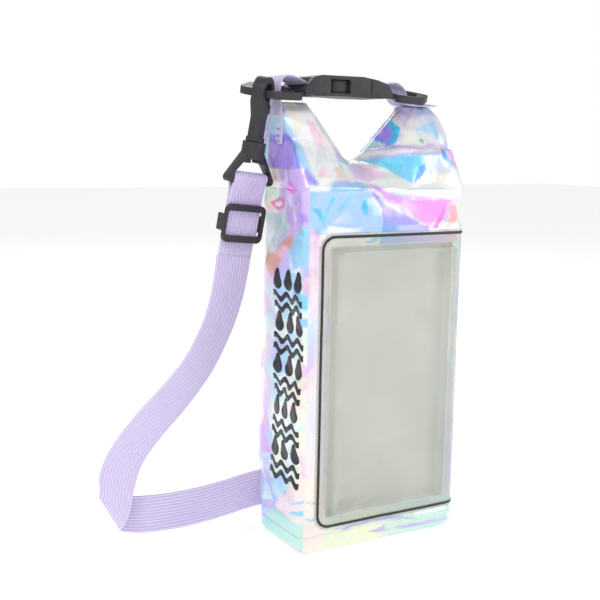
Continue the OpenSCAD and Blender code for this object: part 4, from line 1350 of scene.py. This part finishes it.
@dataclass
class Window:
    """The raised clear window, its printed frame line and the sleeve behind it."""

    film: Film
    x: tuple[float, float] = (-50.5, 40.5)
    z: tuple[float, float] = (23.0, 191.0)
    rise: float = 9.0
    flange: float = 8.0
    flange_out: float = 0.45
    line_w: float = 1.6
    side_end: float = 6.5
    corner: float = 6.0

    def edge_distance(self, s: np.ndarray, z: np.ndarray, grow: float, corner: float) -> np.ndarray:
        """Distance inside the window's rounded outline, grown all round."""
        mid = np.array((sum(self.x) / 2, sum(self.z) / 2))
        half = np.array((self.x[1] - self.x[0], self.z[1] - self.z[0])) / 2 + grow
        q = np.abs(np.stack([s, z], 1) - mid) - (half - corner)
        outside = np.linalg.norm(np.maximum(q, 0), axis=1)
        return corner - outside - np.minimum(q.max(1), 0)

    def lines(self) -> tuple[np.ndarray, np.ndarray]:
        """Grid lines along the film and up it, close together by the window's edges."""
        far = self.film.right - self.film.corner + self.film.corner * math.pi / 2 + self.side_end
        x0, x1 = self.x
        z0, z1 = self.z
        s, z = (np.concatenate([spaced([a - self.flange, a - 1], 1.2), spaced([a - 1, a + 4.5], 0.4)[1:],
                                spaced([a + 4.5, b - 4.5], 1.3)[1:], spaced([b - 4.5, b + 1], 0.4)[1:],
                                spaced([b + 1, end], step)[1:]])
                for a, b, end, step in ((x0, x1, far, 0.9), (z0, z1, z1 + self.flange, 1.2)))
        return s, z

    def ripple(self, s: np.ndarray, z: np.ndarray) -> np.ndarray:
        """Soft wrinkles of the window's outer sheet, strongest at its lower left, in millimetres."""
        u, v = s - self.x[0], z - self.z[0]
        low = np.exp(-((v / 14) ** 2))
        corner = np.exp(-(((u - 8) / 14) ** 2 + ((v - 8) / 12) ** 2))
        long_waves = 0.35 * np.sin(v / 9 + 1.5 * np.sin(u / 31)) * np.exp(-u / 20)
        bottom = 0.8 * np.sin(u / 7.5 + v / 3.4) * low
        pinch = corner * (1.8 * np.sin((u * 0.9 - v * 1.3) / 3.0) - 1.6)
        edge = 0.5 * np.sin(u / 13 + 2) * np.exp(-(self.z[1] - z) / 9)
        return long_waves + bottom + pinch + edge

    def clear_panel(self, finish: bpy.types.Material) -> None:
        """Makes the raised window and its welded flange as one sheet."""
        s, z = self.lines()
        ss, zz = np.repeat(s, len(z)), np.tile(z, len(s))
        d = self.edge_distance(ss, zz, 0, self.corner)
        lift = smoothstep(0.0, 2.6, d) ** 0.8
        crown = 0.9 * smoothstep(2, 34, d)
        ripple = self.ripple(ss, zz) * smoothstep(2.5, 7, d)
        height = self.flange_out + lift * (self.rise - 1.4 + crown) + ripple
        plan, normal = self.film.wrap(ss)
        side = np.concatenate([normal, np.zeros((len(ss), 1))], 1)
        places = np.stack([plan[:, 0], plan[:, 1], zz], 1)
        flat = np.where(d > 0.2, 0.0, 1.0)
        crease = self.film.crease(places) * self.film.strength(places) * flat
        margin = self.edge_distance(ss, zz, self.flange, 11.0)
        inside = margin.reshape(len(s), len(z)) > -0.7

        def keep(i: int, k: int) -> bool:
            """False beyond the flange's round corners at the left."""
            return bool(inside[i, k] and inside[i + 1, k] and inside[i, k + 1] and inside[i + 1, k + 1]) \
                or s[i] > 20 and bool(zz[k] > self.z[0] - self.flange - 0.1)

        points = places + side * (height + crease)[:, None]
        piece = new_piece("window_clear_panel", points, grid_faces(len(s), len(z), False, keep))
        drop_loose(piece)
        modify(piece, "SOLIDIFY", thickness=0.35 * MM, offset=-1)
        dress(piece, finish)
        settle(piece, "bag", "clear_film", "window_panel")

    def frame_line(self, finish: bpy.types.Material) -> None:
        """Makes the printed line round the window, over the corner and down the right side."""
        inset, r = 1.5, 9.0
        x0, z0 = self.x[0] - self.flange + inset, self.z[0] - self.flange + inset
        z1 = self.z[1] + self.flange - inset
        far = self.film.right - self.film.corner + self.film.corner * math.pi / 2 + self.side_end - inset
        path = [(s, z1) for s in spaced([far, x0 + r], 1.2)]
        path += arc((x0 + r, z1 - r), r, 90, 180, 12)[1:]
        path += [(x0, z) for z in spaced([z1 - r, z0 + r], 1.2)[1:]]
        path += arc((x0 + r, z0 + r), r, 180, 270, 12)[1:]
        path += [(s, z0) for s in spaced([x0 + r, far], 1.2)[1:]]
        path += [(far, z) for z in spaced([z0, z1], 1.2)[1:-1]]
        line = np.array(path)
        ahead = unit(np.roll(line, -1, axis=0) - np.roll(line, 1, axis=0))
        across = np.stack([-ahead[:, 1], ahead[:, 0]], 1)
        offsets = np.array((0.0, 0.5, 1.0)) * self.line_w
        flat = line[:, None] + across[:, None] * offsets[None, :, None]
        flat = flat.reshape(-1, 2)
        plan, normal = self.film.wrap(flat[:, 0])
        places = np.concatenate([plan, flat[:, 1:]], 1)
        side = np.concatenate([normal, np.zeros((len(flat), 1))], 1)
        crease = self.film.crease(places) * self.film.strength(places)
        points = places + side * (self.flange_out + 0.12 + crease)[:, None]
        piece = new_piece("window_frame_line", points, grid_faces(len(line), len(offsets), True))
        modify(piece, "SOLIDIFY", thickness=0.1 * MM, offset=1)
        clean(piece, 0.001)
        dress(piece, finish)
        settle(piece, "bag", "black_print", "window_frame_print")

    def sleeve(self, finish: bpy.types.Material) -> None:
        """Makes the sleeve behind the window: a shallow tray with a softly wrinkled back."""
        x0, x1, z0, z1 = -55.3, 43.3, 19.3, 190.7
        xs, zs = (np.concatenate([spaced([a, a + 4], 0.6), spaced([a + 4, b - 4], 2.0)[1:],
                                  spaced([b - 4, b], 0.6)[1:]]) for a, b in ((x0, x1), (z0, z1)))
        x, z = np.repeat(xs, len(zs)), np.tile(zs, len(xs))
        d = np.minimum(np.minimum(x - x0, x1 - x), np.minimum(z - z0, z1 - z))
        waves = 0.5 * np.sin(x / 11 + 1.3 * np.sin(z / 23)) + 0.35 * np.sin(z / 8 + x / 19)
        depth = smoothstep(0, 3, d) * 7.4 + waves * smoothstep(3, 14, d)
        points = np.stack([x, -32.0 + np.clip(depth, 0, 8.2), z], 1)
        piece = new_piece("phone_sleeve_sheet", points, grid_faces(len(xs), len(zs)))
        modify(piece, "SOLIDIFY", thickness=0.4 * MM, offset=0)
        dress(piece, finish)
        settle(piece, "bag", "inner_sheet", "phone_sleeve")


@dataclass
class SideMarks:
    """A column of plain printed marks on the left side: pairs of waves and rows of drops."""

    film: Film
    marks: int = 10
    pitch: float = 13.2
    first_z: float = 49.5
    middle_y: float = -13.0
    width: float = 33.0
    line: float = 3.7
    out: float = 0.16

    def lay(self, flat: np.ndarray) -> np.ndarray:
        """Lays points (Y and Z on the left side) on the creased film."""
        corner = self.film.corner
        s = self.film.left + corner - corner * math.pi / 2 - (flat[:, 0] + self.film.half_depth - corner)
        plan, normal = self.film.wrap(s)
        places = np.concatenate([plan, flat[:, 1:]], 1)
        side = np.concatenate([normal, np.zeros((len(flat), 1))], 1)
        return self.film.displaced(places, side, self.out)

    def wave(self, y: float, z: float) -> tuple[np.ndarray, list]:
        """Points and faces of one wavy line about a place."""
        u = np.linspace(-self.width / 2, self.width / 2, 45)
        v = z + 1.9 * np.sin(u / self.width * 5.5 * math.pi)
        rows = np.linspace(-self.line / 2, self.line / 2, 4)
        points = np.array([(y + a, b + c) for a, b in zip(u, v) for c in rows])
        return points, grid_faces(len(u), len(rows))

    def drop(self, y: float, z: float) -> tuple[np.ndarray, list]:
        """Points and faces of one drop about a place."""
        angles = np.radians(np.linspace(0, 360, 29)[:-1])
        tip = np.maximum(np.sin(angles), 0) ** 9
        radius = 4.3 * (1 + 1.1 * tip)
        points, faces, rings = [(y, z - 1.2)], [], 4
        for share in np.linspace(0.25, 1, rings):
            points += [(y + share * r * math.cos(a) * (1 - 0.25 * t), z - 1.2 + share * r * math.sin(a))
                       for a, r, t in zip(angles, radius, tip)]
        n = len(angles)
        faces += [(0, 1 + k, 1 + (k + 1) % n) for k in range(n)]
        for ring in range(rings - 1):
            a = 1 + ring * n
            faces += [(a + k, a + n + k, a + n + (k + 1) % n, a + (k + 1) % n) for k in range(n)]
        return np.array(points), faces

    def build(self, finish: bpy.types.Material) -> None:
        """Makes all the marks as one print."""
        points, faces = [], []
        count = 0
        for i in range(self.marks):
            z = self.first_z + i * self.pitch
            shapes = [self.wave(self.middle_y, z + h) for h in (-3.3, 3.3)] if i % 2 == 0 \
                else [self.drop(self.middle_y + w, z) for w in (-11.2, 0, 11.2)]
            for flat, quads in shapes:
                points.append(self.lay(flat))
                faces += [tuple(v + count for v in quad) for quad in quads]
                count += len(flat)
        piece = new_piece("side_marks", np.concatenate(points), faces)
        modify(piece, "SOLIDIFY", thickness=0.12 * MM, offset=0)
        clean(piece, 0.001)
        dress(piece, finish)
        settle(piece, "bag", "black_print", "side_print")


# ---- moulded hardware ----


@dataclass
class Hardware:
    """Buckle, rings, hook and slider: the moulded parts with their edges rounded off."""

    pieces: tuple = (("buckle_female", "bag", 0.9), ("buckle_male", "male_half", 0.9),
                     ("buckle_prong_front", "prong_front", 0.4), ("buckle_prong_rear", "prong_rear", 0.4),
                     ("ring_left", "left_ring", 1.3), ("ring_right", "right_ring", 0.6),
                     ("hook_base", "bag", 0.9), ("hook_body", "hook", 0.9), ("hook_gate", "gate", 0.3),
                     ("slider", "slider", 0.5), ("anchor_ring", "lower_ring", 0.2))

    def rounded(self, node: str, body: str, edge: float, finish: bpy.types.Material) -> bpy.types.Object:
        """Copies a moulded part and rounds its edges.

        Args:
            node: the part's name.
            body: the body that it rides on.
            edge: width of the rounding, in millimetres.
            finish: its material.

        Returns:
            The new piece.
        """
        mesh = bpy.data.objects[node].data.copy()
        mesh.materials.clear()
        piece = bpy.data.objects.new(f"{node}_moulded", mesh)
        bpy.context.collection.objects.link(piece)
        only(piece)
        bpy.ops.object.mode_set(mode="EDIT")
        bpy.ops.mesh.select_all(action="SELECT")
        bpy.ops.mesh.remove_doubles(threshold=0.004 * MM)
        bpy.ops.mesh.dissolve_limited(angle_limit=math.radians(1.0))
        bpy.ops.object.mode_set(mode="OBJECT")
        modify(piece, "BEVEL", width=edge * MM, segments=3, limit_method="ANGLE",
               angle_limit=math.radians(35), use_clamp_overlap=True, harden_normals=False)
        only(piece)
        bpy.ops.object.shade_smooth_by_angle(angle=math.radians(38))
        dress(piece, finish)
        settle(piece, body, "black_moulding", node)
        return piece

    def build(self, finish: bpy.types.Material) -> dict[str, bpy.types.Object]:
        """Makes every moulded piece."""
        return {node: self.rounded(node, body, edge, finish) for node, body, edge in self.pieces}


@dataclass
class Stitching:
    """Rows of zigzag bartacks that hold the webbing down."""

    radius: float = 0.28
    pitch: float = 1.1
    swing: float = 0.9
    handle_y: float = 8.0

    def tack(self, start: tuple, along: tuple, across: tuple, out: tuple,
             length: float) -> tuple[np.ndarray, list]:
        """One zigzag thread as a thin closed tube."""
        start, along, across, out = (np.array(v, float) for v in (start, along, across, out))
        n = int(length / self.pitch)
        corners = [start + along * (k * self.pitch) + across * (self.swing * (k % 2 - 0.5))
                   for k in range(n + 1)]
        line = catmull_rom(corners, 3)
        ahead = unit(np.gradient(line, axis=0))
        side = np.cross(ahead, out)
        ring = np.radians(np.arange(0, 360, 60))
        points = (line[:, None] + side[:, None] * (np.cos(ring) * self.radius)[None, :, None]
                  + out * (np.sin(ring) * self.radius * 0.8)[None, :, None])
        m, k = len(line), len(ring)
        faces = [(i * k + j, i * k + (j + 1) % k, (i + 1) * k + (j + 1) % k, (i + 1) * k + j)
                 for i in range(m - 1) for j in range(k)]
        faces += [tuple(range(k - 1, -1, -1)), tuple((m - 1) * k + j for j in range(k))]
        return points.reshape(-1, 3), faces

    def build(self, finish: bpy.types.Material) -> None:
        """Makes all the bartacks as one piece."""
        y0 = self.handle_y - 10
        rows = [((-69.45, y0, z), (0, 1, 0), (0, 0, 1), (-1, 0, 0)) for z in (252, 255, 259)]
        rows += [((x, y0 + 1, 276.7), (0, 1, 0), (1, 0, 0), (0, 0, 1)) for x in (36, 39.5, 43)]
        rows += [((x, 37.0, 13), (0, 0, 1), (1, 0, 0), (0, 1, 0)) for x in (5, 11, 17)]
        points, faces, count = [], [], 0
        for start, along, across, out in rows:
            p, f = self.tack(start, along, across, out, 18)
            points.append(p)
            faces += [tuple(v + count for v in face) for face in f]
            count += len(p)
        piece = new_piece("bartacks", np.concatenate(points), faces)
        clean(piece, 0.001)
        dress(piece, finish)
        settle(piece, "bag", "lavender_thread", "bartack_stitching")


@dataclass
class Stiffener:
    """The strip inside the mouth, which keeps its plain cut shape."""

    node: str = "mouth_stiffener"

    def build(self, finish: bpy.types.Material) -> None:
        """Dresses the strip."""
        dress(bpy.data.objects[self.node], finish)
        LOG.info("%s: kept, with a new finish", self.node)


def main() -> None:
    """Builds the bag, sub-assembly by sub-assembly."""
    logging.basicConfig(level=logging.INFO, format="%(name)s %(message)s")
    studio = Studio()
    studio.camera()
    webbing, moulding = Webbing().make(), Moulding().make()
    strap = Strap()
    run, line = strap.free_run(webbing)
    top = strap.doubled_top(webbing)
    end, _ = strap.loops(webbing)
    hardware = Hardware().build(moulding)
    studio.build()
    pearl, ink = PearlFilm().make(), PrintInk().make()
    film = Film()
    film.body(pearl)
    film.base(pearl)
    film.mouth(pearl)
    window = Window(film)
    sheet = InnerSheet().make()
    film.tape(sheet)
    film.back_panel("seam_strip", "back_seam", (31.5, 13), (43.5, 223), 1.5, 0.55, pearl)
    film.back_panel("anchor_patch_film", "anchor_patch", (-15, 4), (31, 42), 6.0, 0.7, pearl)
    window.sleeve(sheet)
    window.clear_panel(ClearFilm().make())
    window.frame_line(ink)
    SideMarks(film).build(ink)
    HandleWebbing().build(webbing)
    Stitching().build(Thread().make())
    Stiffener().build(WhiteStrip().make())


if __name__ == "__main__":
    main()
